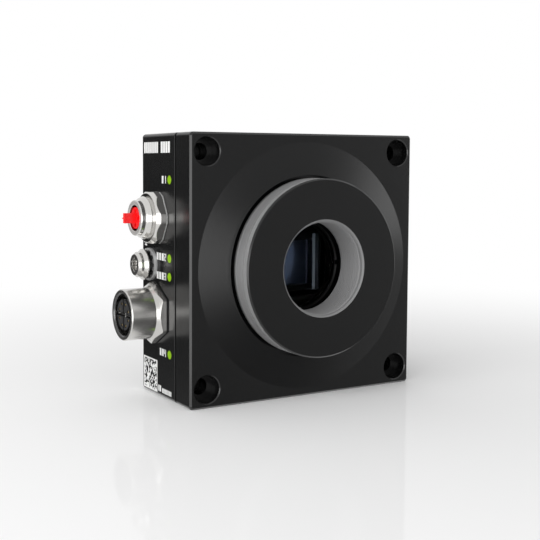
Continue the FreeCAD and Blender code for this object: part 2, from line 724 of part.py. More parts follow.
def lens_adapter():
    """The turned ring with the lens thread, a foot that screws into the front half and grip grooves."""
    piece = lens_body("lens_adapter")
    spigot = dim.mount_radius - dim.thread_gap
    turn_on(piece, [
        (dim.lens_radius + dim.lens_bevel, zero),
        (dim.adapter_radius - dim.adapter_bevel, zero),
        (dim.adapter_radius, -dim.adapter_bevel),
        (dim.adapter_radius, adapter_foot + dim.lock_bevel),
        (dim.adapter_radius - dim.lock_bevel, adapter_foot),
        (spigot, adapter_foot),
        (spigot, adapter_end),
        (dim.lens_radius, adapter_end),
        (dim.lens_radius, -dim.lens_bevel),
    ])
    bottom = dim.adapter_radius - dim.groove_depth
    top_edge = -(dim.adapter_bevel + dim.groove_pitch / 2)
    groove = turn_off(piece, [
        (bottom, top_edge - dim.groove_depth),
        (dim.adapter_radius, top_edge - 2 * dim.groove_depth),
        (dim.adapter_radius, top_edge),
    ])
    rows = piece.newObject("PartDesign::LinearPattern", "lens_adapter_rows")
    rows.Originals = [groove]
    rows.Direction = (origin_plane(piece, "Z_Axis"), [""])
    rows.Reversed = True
    bind(rows, "Length", dim.groove_pitch * (dim.groove_count - 1))
    bind(rows, "Occurrences", dim.groove_count)
    piece.Tip = rows
    return piece


def lock_ring():
    """The thin threaded ring that locks the adapter at the right height."""
    piece = lens_body("adapter_lock_ring")
    foot = face + dim.seat_rise
    turn_on(piece, [
        (dim.mount_radius, foot),
        (dim.adapter_radius, foot),
        (dim.adapter_radius, adapter_foot - dim.lock_bevel),
        (dim.adapter_radius - dim.lock_bevel, adapter_foot),
        (dim.mount_radius, adapter_foot),
    ])
    return piece


def adapter_seal():
    """The rubber cord ring that the adapter's end presses on."""
    piece = doc.addObject("Part::Torus", "adapter_seal_ring")
    piece.Label = "adapter_seal_ring"
    bind(piece, "Radius1", dim.mount_radius - dim.seal_cord)
    bind(piece, "Radius2", dim.seal_cord)
    place_in_frame(piece, lens_turn, (zero, zero, adapter_end - dim.seal_cord))
    pieces.append(piece)
    return piece


def cover_glass():
    piece = doc.addObject("Part::Cylinder", "cover_glass")
    piece.Label = "cover_glass"
    bind(piece, "Radius", dim.filter_radius)
    bind(piece, "Height", dim.filter_depth)
    place_in_frame(piece, lens_turn, (zero, zero, glass_back))
    pieces.append(piece)
    return piece


def glass_keeper():
    """The ring that holds the cover glass down, with two spanner slots."""
    piece = lens_body("glass_retaining_ring")
    top = glass_top + dim.keeper_depth
    outside = dim.filter_radius + dim.filter_gap - dim.thread_gap
    turn_on(piece, [
        (keeper_opening, glass_top),
        (outside, glass_top),
        (outside, top),
        (keeper_opening + dim.keeper_bevel, top),
        (keeper_opening, top - dim.keeper_bevel),
    ])
    slots = new_sketch(piece, level=top)
    draw_block(slots, 2 * dim.filter_radius + dim.wall, dim.keeper_slot)
    pocket(piece, slots, dim.keeper_depth / 2)
    return piece


def image_sensor():
    """The sensor: a ceramic package with a window, a silicon chip in it and a glass lid."""
    piece = lens_body("sensor_package")
    outline = new_sketch(piece, level=package_back)
    draw_block(outline, dim.package_width, dim.package_height)
    pad(piece, outline, dim.package_depth)
    lid_seat = new_sketch(piece, level=package_top)
    draw_block(lid_seat, dim.lid_width, dim.lid_height)
    pocket(piece, lid_seat, dim.lid_depth)
    window = new_sketch(piece, level=package_top)
    draw_block(window, dim.window_width, dim.window_height)
    pocket(piece, window, dim.die_below_top + dim.shelf_drop)
    die_pocket = new_sketch(piece, level=package_top)
    draw_block(die_pocket, dim.die_width + 2 * dim.die_gap, dim.die_height + 2 * dim.die_gap)
    pocket(piece, die_pocket, dim.die_pocket_depth)

    die_floor = package_top - dim.die_pocket_depth
    box_piece("sensor_chip", lens_turn,
              (dim.die_width, dim.die_height, image_plane - die_floor),
              (-dim.die_width / 2, -dim.die_height / 2, die_floor))
    box_piece("sensor_lid", lens_turn,
              (dim.lid_width, dim.lid_height, dim.lid_depth),
              (-dim.lid_width / 2, -dim.lid_height / 2, package_top - dim.lid_depth))


def board_holes(piece, level):
    holes = new_sketch(piece, level=level)
    for x, y in corners_of(board_screw_x, board_screw_y):
        draw_circle(holes, dim.board_hole_radius, x, y)
    pocket(piece, holes, dim.board_depth, forward=True)


def sensor_board():
    piece = lens_body("sensor_board")
    outline = new_sketch(piece, level=sensor_board_back)
    draw_block(outline, 2 * (half_width + panel_board_inside - dim.sensor_board_gap),
               2 * (board_screw_y + dim.board_end_margin))
    pad(piece, outline, dim.board_depth)
    board_holes(piece, sensor_board_back)
    return piece


def processor_board():
    piece = lens_body("processor_board")
    outline = new_sketch(piece, level=processor_board_back)
    left = -half_width - panel_board_inside + dim.processor_board_gap
    right = cavity_half_width - dim.processor_wall_gap
    draw_rectangle(outline, left, right, -processor_board_half, processor_board_half)
    pad(piece, outline, dim.board_depth)
    board_holes(piece, processor_board_back)
    return piece


def board_spacers():
    """Four hexagon spacers, each with a threaded stud through the sensor board and a threaded hole."""
    piece = lens_body("board_spacers")
    studs = new_sketch(piece, level=sensor_board_back)
    bodies = new_sketch(piece, level=processor_board_front)
    bores = new_sketch(piece, level=processor_board_front)
    for x, y in corners_of(board_screw_x, board_screw_y):
        draw_circle(studs, dim.stud_radius - dim.thread_gap, x, y)
        draw_hexagon(bodies, dim.spacer_flats, 30, x, y)
        draw_circle(bores, dim.stud_radius, x, y)
    pad(piece, bodies, dim.spacer_length)
    pad(piece, studs, dim.board_depth + dim.stud_length)
    pocket(piece, bores, small_bore, forward=True)
    return piece


def small_screws(label, turn, spots, level):
    """A group of M2.5 screws with their heads' undersides at level, pointing against the frame's Z."""
    piece = new_body(label)
    place_in_frame(piece, turn, (zero, zero, zero))
    heads = new_sketch(piece, level=level)
    shanks = new_sketch(piece, level=level)
    recesses = new_sketch(piece, level=level - dim.small_head_depth)
    for x, y in spots:
        draw_circle(heads, dim.small_head_radius, x, y)
        draw_circle(shanks, dim.stud_radius - dim.thread_gap, x, y)
        draw_circle(recesses, dim.small_recess_radius, x, y)
    pad(piece, heads, dim.small_head_depth, forward=False)
    pad(piece, shanks, dim.board_depth + dim.small_screw_bite)
    pocket(piece, recesses, dim.small_recess_depth, forward=True)
    return piece


def closing_screws():
    """Four M3 cap screws that pull the rear half against the front half."""
    piece = lens_body("closing_screws")
    seat = back + dim.closing_head_depth + dim.closing_head_gap
    heads = new_sketch(piece, level=seat)
    shanks = new_sketch(piece, level=seat)
    reach = gasket_back + dim.gasket_depth + dim.closing_bite - dim.closing_head_gap - seat
    for x, y in corners_of(closing_offset, closing_height):
        draw_circle(heads, dim.closing_head_radius, x, y)
        draw_circle(shanks, dim.closing_radius - dim.thread_gap, x, y)
    pad(piece, heads, dim.closing_head_depth, forward=False)
    pad(piece, shanks, reach)
    drives = new_sketch(piece, level=seat - dim.closing_head_depth)
    for x, y in corners_of(closing_offset, closing_height):
        draw_hexagon(drives, dim.closing_drive_flats, 30, x, y)
    pocket(piece, drives, dim.closing_drive_depth, forward=True)
    return piece


def inner_parts():
    """Plug pairs, chips, coil, heat pad and the connector board."""
    half_link = dim.spacer_length / 2
    link_low = (-dim.link_width / 2, -dim.link_drop - dim.link_height / 2)
    link_size = (dim.link_width, dim.link_height, half_link)
    box_piece("link_plug", lens_turn, link_size, (*link_low, sensor_board_back - half_link))
    box_piece("link_socket", lens_turn, link_size, (*link_low, processor_board_front))

    chip = dim.processor_size
    box_piece("processor_chip", lens_turn, (chip, chip, dim.processor_depth),
              (-chip / 2, -chip / 2, chip_back))
    box_piece("thermal_pad", lens_turn, (chip, chip, dim.heat_pad_depth),
              (-chip / 2, -chip / 2, heat_boss_top))
    memory_left = board_screw_x - dim.memory_inset - dim.memory_width / 2
    memory_low = chip / 2 + dim.memory_gap
    for number, low in ((1, memory_low), (2, -memory_low - dim.memory_height)):
        box_piece(f"memory_chip_{number}", lens_turn,
                  (dim.memory_width, dim.memory_height, dim.memory_depth),
                  (memory_left, low, processor_board_back - dim.memory_depth))
    box_piece("power_coil", lens_turn, (dim.coil_size, dim.coil_size, dim.coil_depth),
              (-dim.coil_shift - dim.coil_size / 2,
               dim.coil_inset - processor_board_half - dim.coil_size / 2,
               processor_board_back - dim.coil_depth))


def panel_board():
    """The upright board behind the connectors. It carries the lights and a plug to the processor board."""
    piece = new_body("connector_board")
    place_in_frame(piece, panel_turn, (zero, zero, zero))
    outline = new_sketch(piece, level=panel_board_inside)
    draw_rectangle(outline, -panel_board_back, -panel_board_front,
                   -panel_board_half, panel_board_half)
    pad(piece, outline, dim.board_depth)
    holes = new_sketch(piece, level=panel_board_inside)
    for height in (panel_screw_offset, -panel_screw_offset):
        draw_circle(holes, dim.board_hole_radius, -panel_depth, height)
    pocket(piece, holes, dim.board_depth, forward=True)

    box_piece("side_plug", panel_turn,
              (dim.side_plug_depth, dim.side_plug_height, dim.side_plug_width),
              (processor_board_front - face, -dim.side_plug_height / 2,
               panel_board_inside - dim.side_plug_width))
    for number, height in enumerate(light_heights(), start=1):
        box_piece(f"status_light_{number}", panel_turn,
                  (dim.led_width, dim.led_height, dim.led_depth),
                  (-light_depth - dim.led_width / 2, height - dim.led_height / 2,
                   panel_board_outside))


def light_pipe(number, height):
    """A clear green rod from a light chip to the wall, with a collar that stops it inside."""
    piece = panel_body(f"light_pipe_{number}", light_depth, height)
    foot = panel_board_outside + dim.led_depth + dim.led_gap
    collar_top = -dim.wall
    collar_foot = collar_top - dim.light_shoulder_depth
    turn_on(piece, [
        (zero, foot), (dim.light_radius, foot), (dim.light_radius, collar_foot),
        (dim.light_shoulder, collar_foot), (dim.light_shoulder, collar_top),
        (dim.light_radius, collar_top), (dim.light_radius, zero), (zero, zero),
    ])
    return piece


def hexagon_flange(piece, flats, first_angle, depth, bevel):
    """A hexagon above the seal. The bevel lists radius and height from its face out to its corners."""
    base = dim.seal_depth
    sketch = new_sketch(piece, level=base)
    draw_hexagon(sketch, flats, first_angle)
    pad(piece, sketch, depth)
    corner_radius = bevel[-1][0]
    turn_off(piece, [(corner_radius, base), (flats, base), (flats, base + depth)]
             + [(radius, base + height) for radius, height in bevel])


def power_connector():
    """The power connector: a threaded male shell, a seal, an insert and its pins."""
    height = dim.connector_offset
    shell = panel_body("power_connector_shell", panel_depth, height)
    base = dim.seal_depth
    hexagon_flange(shell, dim.power_flats, 0, dim.power_hex_depth,
                   [(dim.power_hex_face, dim.power_hex_depth),
                    (dim.power_corner_radius, dim.power_hex_corner)])
    tail = dim.connector_thread - dim.thread_gap
    neck_foot = base + dim.power_hex_depth
    neck_top = neck_foot + dim.power_neck_depth
    thread_top = neck_top + dim.power_thread_depth
    lip_foot = thread_top + dim.power_thread_bevel
    lip_top = lip_foot + dim.power_lip_depth
    turn_on(shell, [
        (zero, -connector_tail), (tail, -connector_tail), (tail, base),
        (dim.power_neck_radius, base), (dim.power_neck_radius, neck_top),
        (dim.power_thread_radius, neck_top), (dim.power_thread_end, thread_top),
        (dim.power_lip_radius, lip_foot), (dim.power_lip_radius, lip_top - dim.power_lip_bevel),
        (dim.power_lip_radius - dim.power_lip_bevel, lip_top), (zero, lip_top),
    ])
    turn_off(shell, [
        (zero, -connector_tail), (dim.power_bore_radius, -connector_tail),
        (dim.power_bore_radius, lip_top - dim.power_bore_bevel),
        (dim.power_bore_radius + dim.power_bore_bevel, lip_top), (zero, lip_top),
    ])
    connector_seal("power_connector_seal", height, dim.power_flats, 0, dim.power_corner_radius)

    insert = panel_body("power_connector_insert", panel_depth, height)
    disc = new_sketch(insert, level=-connector_tail)
    draw_circle(disc, dim.power_bore_radius - dim.insert_gap)
    pad(insert, disc, connector_tail + dim.power_insert_top)
    holes = new_sketch(insert, level=-connector_tail)
    draw_circle(holes, dim.pin_radius, dim.pin_circle)
    circle_pattern(insert, [pocket(insert, holes, connector_tail + dim.power_insert_top,
                                   forward=True)], dim.pin_count)

    pins = panel_body("power_connector_pins", panel_depth, height)
    circle = new_sketch(pins, level=panel_board_outside)
    draw_circle(circle, dim.pin_radius, dim.pin_circle)
    rod = pad(pins, circle, dim.pin_reach - panel_board_outside)
    circle_pattern(pins, [rod], dim.pin_count)


def connector_seal(label, height, flats, first_angle, corner_radius):
    """The flat seal under a connector, cut to the outline of its hexagon."""
    piece = panel_body(label, panel_depth, height)
    outline = new_sketch(piece)
    draw_hexagon(outline, flats, first_angle)
    draw_circle(outline, dim.connector_thread)
    pad(piece, outline, dim.seal_depth)
    turn_off(piece, [(corner_radius, zero), (flats, zero), (flats, dim.seal_depth),
                     (corner_radius, dim.seal_depth)])


def dust_plug():
    """The soft plug pushed over the pins: a dimpled disc with a grip tab and a nib."""
    piece = panel_body("dust_plug", panel_depth, dim.connector_offset)
    disc = new_sketch(piece, level=dim.plug_foot)
    draw_circle(disc, dim.plug_radius)
    pad(piece, disc, dim.plug_top - dim.plug_foot)
    tab = new_sketch(piece, level=dim.plug_top - dim.plug_core)
    draw_block(tab, dim.plug_tab_width, dim.plug_tab_height)
    pad(piece, tab, dim.plug_core + dim.plug_tab_length)
    tip = dim.plug_top + dim.plug_tab_length
    turn_on(piece, [(zero, tip - dim.plug_nib_length), (dim.plug_nib_radius, tip - dim.plug_nib_length),
                    (dim.plug_nib_radius, tip), (zero, tip + dim.plug_nib_length)])
    sockets = new_sketch(piece, level=dim.plug_foot)
    draw_circle(sockets, dim.pin_radius + dim.plug_grip, dim.pin_circle)
    socket = pocket(piece, sockets, dim.pin_reach - dim.plug_foot + dim.plug_grip, forward=True)
    dimples = new_sketch(piece, level=dim.plug_top)
    draw_circle(dimples, dim.plug_dimple_radius, dim.pin_circle)
    dimple = pocket(piece, dimples, dim.plug_dimple_depth)
    circle_pattern(piece, [socket, dimple], dim.pin_count)
    return piece


def data_connector():
    """The data connector: a smooth female shell, a seal and an insert with a cross shield."""
    height = -dim.connector_offset
    shell = panel_body("data_connector_shell", panel_depth, height)
    base = dim.seal_depth
    tail = dim.connector_thread - dim.thread_gap
    hexagon_flange(shell, dim.data_flats, 30, dim.data_hex_depth,
                   [(dim.data_shell_radius, dim.data_hex_depth),
                    (dim.data_hollow_radius, dim.data_hollow_height),
                    (dim.data_corner_radius, dim.data_hex_corner)])
    turn_on(shell, [
        (zero, -connector_tail), (tail, -connector_tail), (tail, base),
        (dim.data_shell_radius, base),
        (dim.data_shell_radius, dim.data_shell_top - dim.data_shell_bevel),
        (dim.data_shell_radius - dim.data_shell_bevel, dim.data_shell_top),
        (zero, dim.data_shell_top),
    ])
    foot_bore = dim.data_insert_foot + dim.insert_gap
    turn_off(shell, [
        (zero, -connector_tail), (foot_bore, -connector_tail),
        (foot_bore, dim.data_foot_top), (dim.data_bore_radius, dim.data_foot_top),
        (dim.data_bore_radius, dim.data_shell_top - dim.data_mouth_depth),
        (dim.data_mouth_radius, dim.data_shell_top), (zero, dim.data_shell_top),
    ])
    connector_seal("data_connector_seal", height, dim.data_flats, 30, dim.data_corner_radius)
    data_insert(height)


def data_insert(height):
    """The insert: four quarters split by crossed slots, two contacts in each, a metal cross between."""
    insert = panel_body("data_connector_insert", panel_depth, height)
    top = dim.data_insert_top
    turn_on(insert, [
        (zero, -connector_tail), (dim.data_insert_foot, -connector_tail),
        (dim.data_insert_foot, dim.data_foot_top), (dim.data_insert_radius, dim.data_foot_top),
        (dim.data_insert_radius, top), (zero, top),
    ])
    slot_long = 2 * dim.data_insert_foot
    slots = new_sketch(insert, level=top)
    draw_outline(slots, cross_outline(slot_long / 2, dim.shield_half))
    pocket(insert, slots, dim.shield_depth)
    holes = new_sketch(insert, level=top)
    draw_circle(holes, dim.contact_radius, dim.contact_far, dim.contact_near)
    draw_circle(holes, dim.contact_radius, dim.contact_near, dim.contact_far)
    circle_pattern(insert, [pocket(insert, holes, dim.contact_depth)], 4)

    shield = panel_body("data_connector_shield", panel_depth, height)
    cross = new_sketch(shield, level=top - dim.shield_depth)
    draw_outline(cross, cross_outline(dim.data_insert_radius, dim.shield_wall / 2))
    pad(shield, cross, dim.shield_depth - dim.shield_below)

    contacts = panel_body("data_connector_contacts", panel_depth, height)
    tubes = new_sketch(contacts, level=top - dim.contact_depth)
    for x, y in ((dim.contact_far, dim.contact_near), (dim.contact_near, dim.contact_far)):
        draw_circle(tubes, dim.contact_radius, x, y)
        draw_circle(tubes, dim.contact_radius - dim.contact_wall, x, y)
    tube = pad(contacts, tubes, dim.contact_depth - dim.contact_recess)
    circle_pattern(contacts, [tube], 4)


def cross_outline(reach, half):
    """A plus sign that reaches out to reach and is twice half wide."""
    quarter = [(reach, half), (half, half), (half, reach)]
    corners = list(quarter)
    corners += [(-x, y) for x, y in reversed(quarter)]
    corners += [(-x, -y) for x, y in quarter]
    corners += [(x, -y) for x, y in reversed(quarter)]
    return corners


def earth_screw():
    """The earth screw on the panel: a flat washer, a toothed washer and a six-lobed pan head."""
    washer = panel_body("earth_washer", earth_depth, dim.earth_rise)
    ring = new_sketch(washer)
    draw_circle(ring, dim.earth_washer_radius)
    draw_circle(ring, dim.earth_washer_hole)
    pad(washer, ring, dim.earth_washer_depth)

    toothed = panel_body("earth_toothed_washer", earth_depth, dim.earth_rise)
    foot = dim.earth_washer_depth
    core = new_sketch(toothed, level=foot)
    draw_circle(core, dim.tooth_root)
    draw_circle(core, dim.earth_washer_hole)
    pad(toothed, core, dim.tooth_depth)
    tooth = new_sketch(toothed, level=foot)
    draw_rectangle(tooth, dim.tooth_root - dim.tooth_width / 2, dim.tooth_radius,
                   -dim.tooth_width / 2, dim.tooth_width / 2)
    circle_pattern(toothed, [pad(toothed, tooth, dim.tooth_depth)], dim.tooth_count)

    screw = panel_body("earth_screw", earth_depth, dim.earth_rise)
    seat = foot + dim.tooth_depth
    shank = dim.earth_thread - dim.thread_gap
    flange_top = seat + dim.earth_flange_depth
    head_foot = flange_top + dim.earth_flange_slope
    head_side = head_foot + dim.earth_head_depth
    head_top = head_side + dim.earth_face_depth
    turn_on(screw, [
        (zero, -dim.earth_length), (shank, -dim.earth_length), (shank, seat),
        (dim.earth_flange_radius, seat), (dim.earth_flange_radius, flange_top),
        (dim.earth_head_radius, head_foot), (dim.earth_head_radius, head_side),
        (dim.earth_face_radius, head_top), (zero, head_top),
    ])
    core = new_sketch(screw, level=head_top)
    draw_circle(core, dim.drive_core)
    pocket(screw, core, dim.drive_depth)
    lobe = new_sketch(screw, level=head_top)
    draw_circle(lobe, dim.drive_lobe, zero, dim.drive_core)
    circle_pattern(screw, [pocket(screw, lobe, dim.drive_depth)], dim.drive_count)
    return screw


front_housing()
housing_gasket()
rear_housing()
lens_adapter()
lock_ring()
adapter_seal()
cover_glass()
glass_keeper()
image_sensor()
sensor_board()
processor_board()
board_spacers()
small_screws("board_screws", lens_turn, corners_of(board_screw_x, board_screw_y),
             processor_board_back)
inner_parts()
panel_board()
small_screws("connector_board_screws", panel_turn,
             [(-panel_depth, panel_screw_offset), (-panel_depth, -panel_screw_offset)],
             panel_board_inside)
for pipe_number, pipe_height in enumerate(light_heights(), start=1):
    light_pipe(pipe_number, pipe_height)
power_connector()
dust_plug()
data_connector()
earth_screw()
closing_screws()

doc.recompute()
for item in doc.Objects:
    if {"Invalid", "Error"} & set(item.State):
        raise RuntimeError(f"{item.Name} failed: {item.State}")
for piece in pieces:
    if piece.Shape.isNull() or not piece.Shape.isValid():
        raise RuntimeError(f"{piece.Label} has no valid shape")

os.makedirs("parts", exist_ok=True)
for piece in pieces:
    piece.Shape.exportStep(f"parts/{piece.Label}.step")
    print(f"{piece.Label}: {len(piece.Shape.Solids)} solid(s), {piece.Shape.Volume:.1f} mm3")
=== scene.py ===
import json
import math
import random

import bmesh
import bpy
from mathutils import Matrix, Vector


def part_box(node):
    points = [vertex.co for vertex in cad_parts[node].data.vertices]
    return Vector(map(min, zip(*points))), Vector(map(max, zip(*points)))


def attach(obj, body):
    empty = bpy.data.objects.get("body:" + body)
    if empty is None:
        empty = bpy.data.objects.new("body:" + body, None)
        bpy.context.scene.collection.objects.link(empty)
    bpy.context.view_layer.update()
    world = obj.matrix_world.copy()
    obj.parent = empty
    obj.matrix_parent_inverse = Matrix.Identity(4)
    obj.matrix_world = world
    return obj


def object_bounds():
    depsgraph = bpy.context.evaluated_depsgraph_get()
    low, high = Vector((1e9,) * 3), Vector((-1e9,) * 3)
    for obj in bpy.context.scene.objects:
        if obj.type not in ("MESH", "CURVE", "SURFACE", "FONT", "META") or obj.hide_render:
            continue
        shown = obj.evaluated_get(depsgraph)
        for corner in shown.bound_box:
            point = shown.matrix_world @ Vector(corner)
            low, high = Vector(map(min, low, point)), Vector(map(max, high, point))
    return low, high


# A machine vision camera dressed for its picture. Lengths in the dictionaries are millimetres and
# angles are degrees. The lens looks along -Y, the connectors are on the left wall at -X.

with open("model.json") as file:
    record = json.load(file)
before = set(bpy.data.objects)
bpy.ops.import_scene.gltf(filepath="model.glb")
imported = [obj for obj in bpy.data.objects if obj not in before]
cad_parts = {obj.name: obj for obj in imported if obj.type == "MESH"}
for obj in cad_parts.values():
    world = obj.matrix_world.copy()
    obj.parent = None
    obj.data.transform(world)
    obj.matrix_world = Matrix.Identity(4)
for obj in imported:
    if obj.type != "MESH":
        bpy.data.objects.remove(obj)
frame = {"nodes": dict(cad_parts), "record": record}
cadLow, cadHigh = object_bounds()
nodes = frame["nodes"]
mounts = {mount["name"]: mount for mount in frame["record"]["mounts"]}
print("frame loaded with", len(nodes), "nodes")

mm = 0.001
bevelSamples = 6             # rays that round one sharp edge


class Signal:
    # one socket of a node sheet, which takes part in sums
    def __init__(self, sheet, socket):
        self.sheet = sheet
        self.socket = socket

    def reckon(self, operation, *terms):
        return self.sheet.add("Math", {"operation": operation}, dict(enumerate(terms)))

    def __abs__(self):
        return self.reckon("ABSOLUTE", self)

    def __add__(self, other):
        return self.reckon("ADD", self, other)

    def __radd__(self, other):
        return self.reckon("ADD", other, self)

    def __sub__(self, other):
        return self.reckon("SUBTRACT", self, other)

    def __rsub__(self, other):
        return self.reckon("SUBTRACT", other, self)

    def __mul__(self, other):
        return self.reckon("MULTIPLY", self, other)

    def __rmul__(self, other):
        return self.reckon("MULTIPLY", other, self)

    def __truediv__(self, other):
        return self.reckon("DIVIDE", self, other)

    def __rtruediv__(self, other):
        return self.reckon("DIVIDE", other, self)

    def __lt__(self, other):
        return self.reckon("LESS_THAN", self, other)

    def __gt__(self, other):
        return self.reckon("GREATER_THAN", self, other)


class NodeSheet:
    # the nodes of one material or of the world
    def __init__(self, owner):
        owner.use_nodes = True
        self.owner = owner
        self.tree = owner.node_tree
        self.tree.nodes.clear()

    def add(self, kind, settings=None, sockets=None, result=0):
        node = self.tree.nodes.new("ShaderNode" + kind)
        for word, value in (settings or {}).items():
            setattr(node, word, value)
        for word, value in (sockets or {}).items():
            self.feed(node.inputs[word], value)
        return Signal(self, node.outputs[result]) if node.outputs else node

    def feed(self, socket, value):
        if isinstance(value, Signal):
            self.tree.links.new(value.socket, socket)
        elif socket.type == "RGBA" and len(value) == 3:
            socket.default_value = (*value, 1)
        else:
            socket.default_value = value

    def blend(self, mask, first, second):
        # a colour that goes from first to second as mask goes from 0 to 1
        return self.add("Mix", {"data_type": "RGBA"}, {0: mask, 6: first, 7: second}, 2)

    def fade(self, value, start, end):
        # 0 at start and 1 at end, with soft ends
        return self.add("MapRange", {"interpolation_type": "SMOOTHSTEP"},
                        {"Value": value, "From Min": start, "From Max": end})

    def place(self):
        return self.add("TexCoord", result="Object")

    def length(self, vector):
        return self.add("VectorMath", {"operation": "LENGTH"}, {0: vector}, "Value")

    def radius(self, vector):
        # distance from the lens axis
        return self.length(self.stretch(vector, (1, 0, 1)))

    def parts(self, vector):
        axes = self.add("SeparateXYZ", sockets={"Vector": vector})
        return [axes] + [Signal(self, axes.socket.node.outputs[i]) for i in (1, 2)]

    def noise(self, vector, scale, detail=2.0, rough=0.5):
        return self.add("TexNoise", result="Fac", sockets={
            "Vector": vector, "Scale": scale, "Detail": detail, "Roughness": rough,
        })

    def stretch(self, vector, scale):
        return self.add("Mapping", sockets={"Vector": vector, "Scale": scale})

    def bump(self, height, distance, rounded=0):
        # rounded is the radius that sharp edges catch the light with
        sockets = {"Height": height, "Distance": distance * mm}
        if rounded:
            edge = self.add("Bevel", {"samples": bevelSamples}, {"Radius": rounded * mm})
            sockets["Normal"] = edge
        return self.add("Bump", sockets=sockets)

    def mixShaders(self, mask, first, second):
        return self.add("MixShader", sockets={0: mask, 1: first, 2: second})

    def surface(self, shader):
        self.tree.links.new(shader.socket, self.add("OutputMaterial").inputs["Surface"])
        return self.owner


def newSheet(name):
    return NodeSheet(bpy.data.materials.new(name))


def dimmed(tone, share):
    return tuple(share * part for part in tone)


def around(middle, spread, cloud):
    # a value that strays from its middle by half the spread either way
    return middle - spread / 2 + spread * cloud


# Camera, solved from the corners of the housing in the photograph.
view = {
    "place": (-147.0, -207.0, 27.8),
    "yaw": 28.77,
    "pitch": -3.70,
    "roll": 0.12,
    "focal": 951.9,      # in picture points
    "axisX": 215.2,      # where the optical axis meets the picture, in picture points
    "axisY": 225.3,
    "side": 540,
    "film": 36.0,
    "nearest": 10,
}


def placeCamera():
    lens = bpy.data.cameras.new("photoView")
    lens.sensor_width = view["film"]
    lens.lens = view["focal"] / view["side"] * view["film"]
    lens.shift_x = 0.5 - view["axisX"] / view["side"]
    lens.shift_y = view["axisY"] / view["side"] - 0.5
    lens.clip_start = view["nearest"] * mm
    camera = bpy.data.objects.new("photoView", lens)
    bpy.context.scene.collection.objects.link(camera)
    yaw, pitch, roll = (math.radians(view[word]) for word in ("yaw", "pitch", "roll"))
    ahead = Vector((math.sin(yaw) * math.cos(pitch), math.cos(yaw) * math.cos(pitch),
                    math.sin(pitch)))
    level = Vector((math.cos(yaw), -math.sin(yaw), 0))
    upright = level.cross(ahead)
    right = math.cos(roll) * level + math.sin(roll) * upright
    up = math.cos(roll) * upright - math.sin(roll) * level
    turn = Matrix((right, up, -ahead)).transposed().to_4x4()
    camera.matrix_world = Matrix.Translation(Vector(view["place"]) * mm) @ turn
    bpy.context.scene.camera = camera


# Room: white all round, with a dim side in front of the lens and a dark curtain behind the
# connectors. A dark field is full inside its near angle and gone outside its far angle.
room = {
    "light": 0.64,           # soft light from all sides
    "fields": {
        "dimSide": {"azimuth": 32, "elevation": -8, "near": 20, "far": 42, "shade": 0.62},
        "dimLow": {"azimuth": 25, "elevation": -30, "near": 8, "far": 24, "shade": 0.65},
        "curtain": {"azimuth": -153, "elevation": -5, "near": 5, "far": 26, "shade": 0.98},
    },
}

# Softboxes round the object: azimuth from straight ahead of the lens towards +X, and elevation.
# Some only show in gloss, and some only light colours.
softboxes = {
    "topBox": {"azimuth": 170, "elevation": 70, "distance": 600, "width": 420, "height": 420,
               "radiance": 0.4, "use": "color"},
    "keyBox": {"azimuth": -68, "elevation": 28, "distance": 700, "width": 700, "height": 300,
               "radiance": 4.4, "use": "color"},
    "leftBox": {"azimuth": -51, "elevation": -1, "distance": 700, "width": 1100, "height": 400,
                "radiance": 2.6, "use": "gloss"},
    "frontBox": {"azimuth": 7, "elevation": -3, "distance": 700, "width": 150, "height": 230,
                 "radiance": 1.9, "use": "gloss"},
    "rightBox": {"azimuth": 58, "elevation": 8, "distance": 700, "width": 170, "height": 240,
                 "radiance": 2.0, "use": "gloss"},
}


def toward(azimuth, elevation):
    a, e = math.radians(azimuth), math.radians(elevation)
    return Vector((math.sin(a) * math.cos(e), -math.cos(a) * math.cos(e), math.sin(e)))


def paintRoom():
    world = bpy.data.worlds.new("studio")
    bpy.context.scene.world = world
    sheet = NodeSheet(world)
    direction = sheet.add("TexCoord", result="Generated")
    brightness = 1
    for field in room["fields"].values():
        axis = tuple(toward(field["azimuth"], field["elevation"]))
        facing = sheet.add("VectorMath", {"operation": "DOT_PRODUCT"}, {0: direction, 1: axis},
                           "Value")
        near, far = (math.cos(math.radians(field[word])) for word in ("near", "far"))
        brightness = brightness * (1 - field["shade"] * sheet.fade(facing, far, near))

    camera, glossy, transmitted = (sheet.add("LightPath", result=f"Is {word} Ray")
                                   for word in ("Camera", "Glossy", "Transmission"))
    shown = 1 - glossy * (1 - brightness)       # the dark fields are for gloss alone
    backdrop = sheet.add("Background", sockets={"Color": sheet.blend(shown, (0, 0, 0), (1, 1, 1))})
    soft = sheet.add("Background", sockets={"Color": (1, 1, 1), "Strength": room["light"]})
    seen = sheet.add("Math", {"operation": "ADD", "use_clamp": True},
                     {0: camera + glossy, 1: transmitted})
    mixed = sheet.mixShaders(seen, soft, backdrop)
    sheet.tree.links.new(mixed.socket, sheet.add("OutputWorld").inputs["Surface"])
    bpy.context.scene.view_settings.view_transform = "Standard"


def hangSoftboxes():
    for name, box in softboxes.items():
        lamp = bpy.data.lights.new(name, "AREA")
        lamp.shape = "RECTANGLE"
        lamp.size, lamp.size_y = box["width"] * mm, box["height"] * mm
        lamp.energy = box["radiance"] * math.pi * lamp.size * lamp.size_y
        holder = bpy.data.objects.new(name, lamp)
        holder.visible_camera = False
        holder.visible_diffuse = box["use"] != "gloss"
        holder.visible_glossy = box["use"] != "color"
        aim = toward(box["azimuth"], box["elevation"])
        turn = aim.to_track_quat("Z", "Y").to_matrix().to_4x4()
        holder.matrix_world = Matrix.Translation(aim * box["distance"] * mm) @ turn
        bpy.context.scene.collection.objects.link(holder)


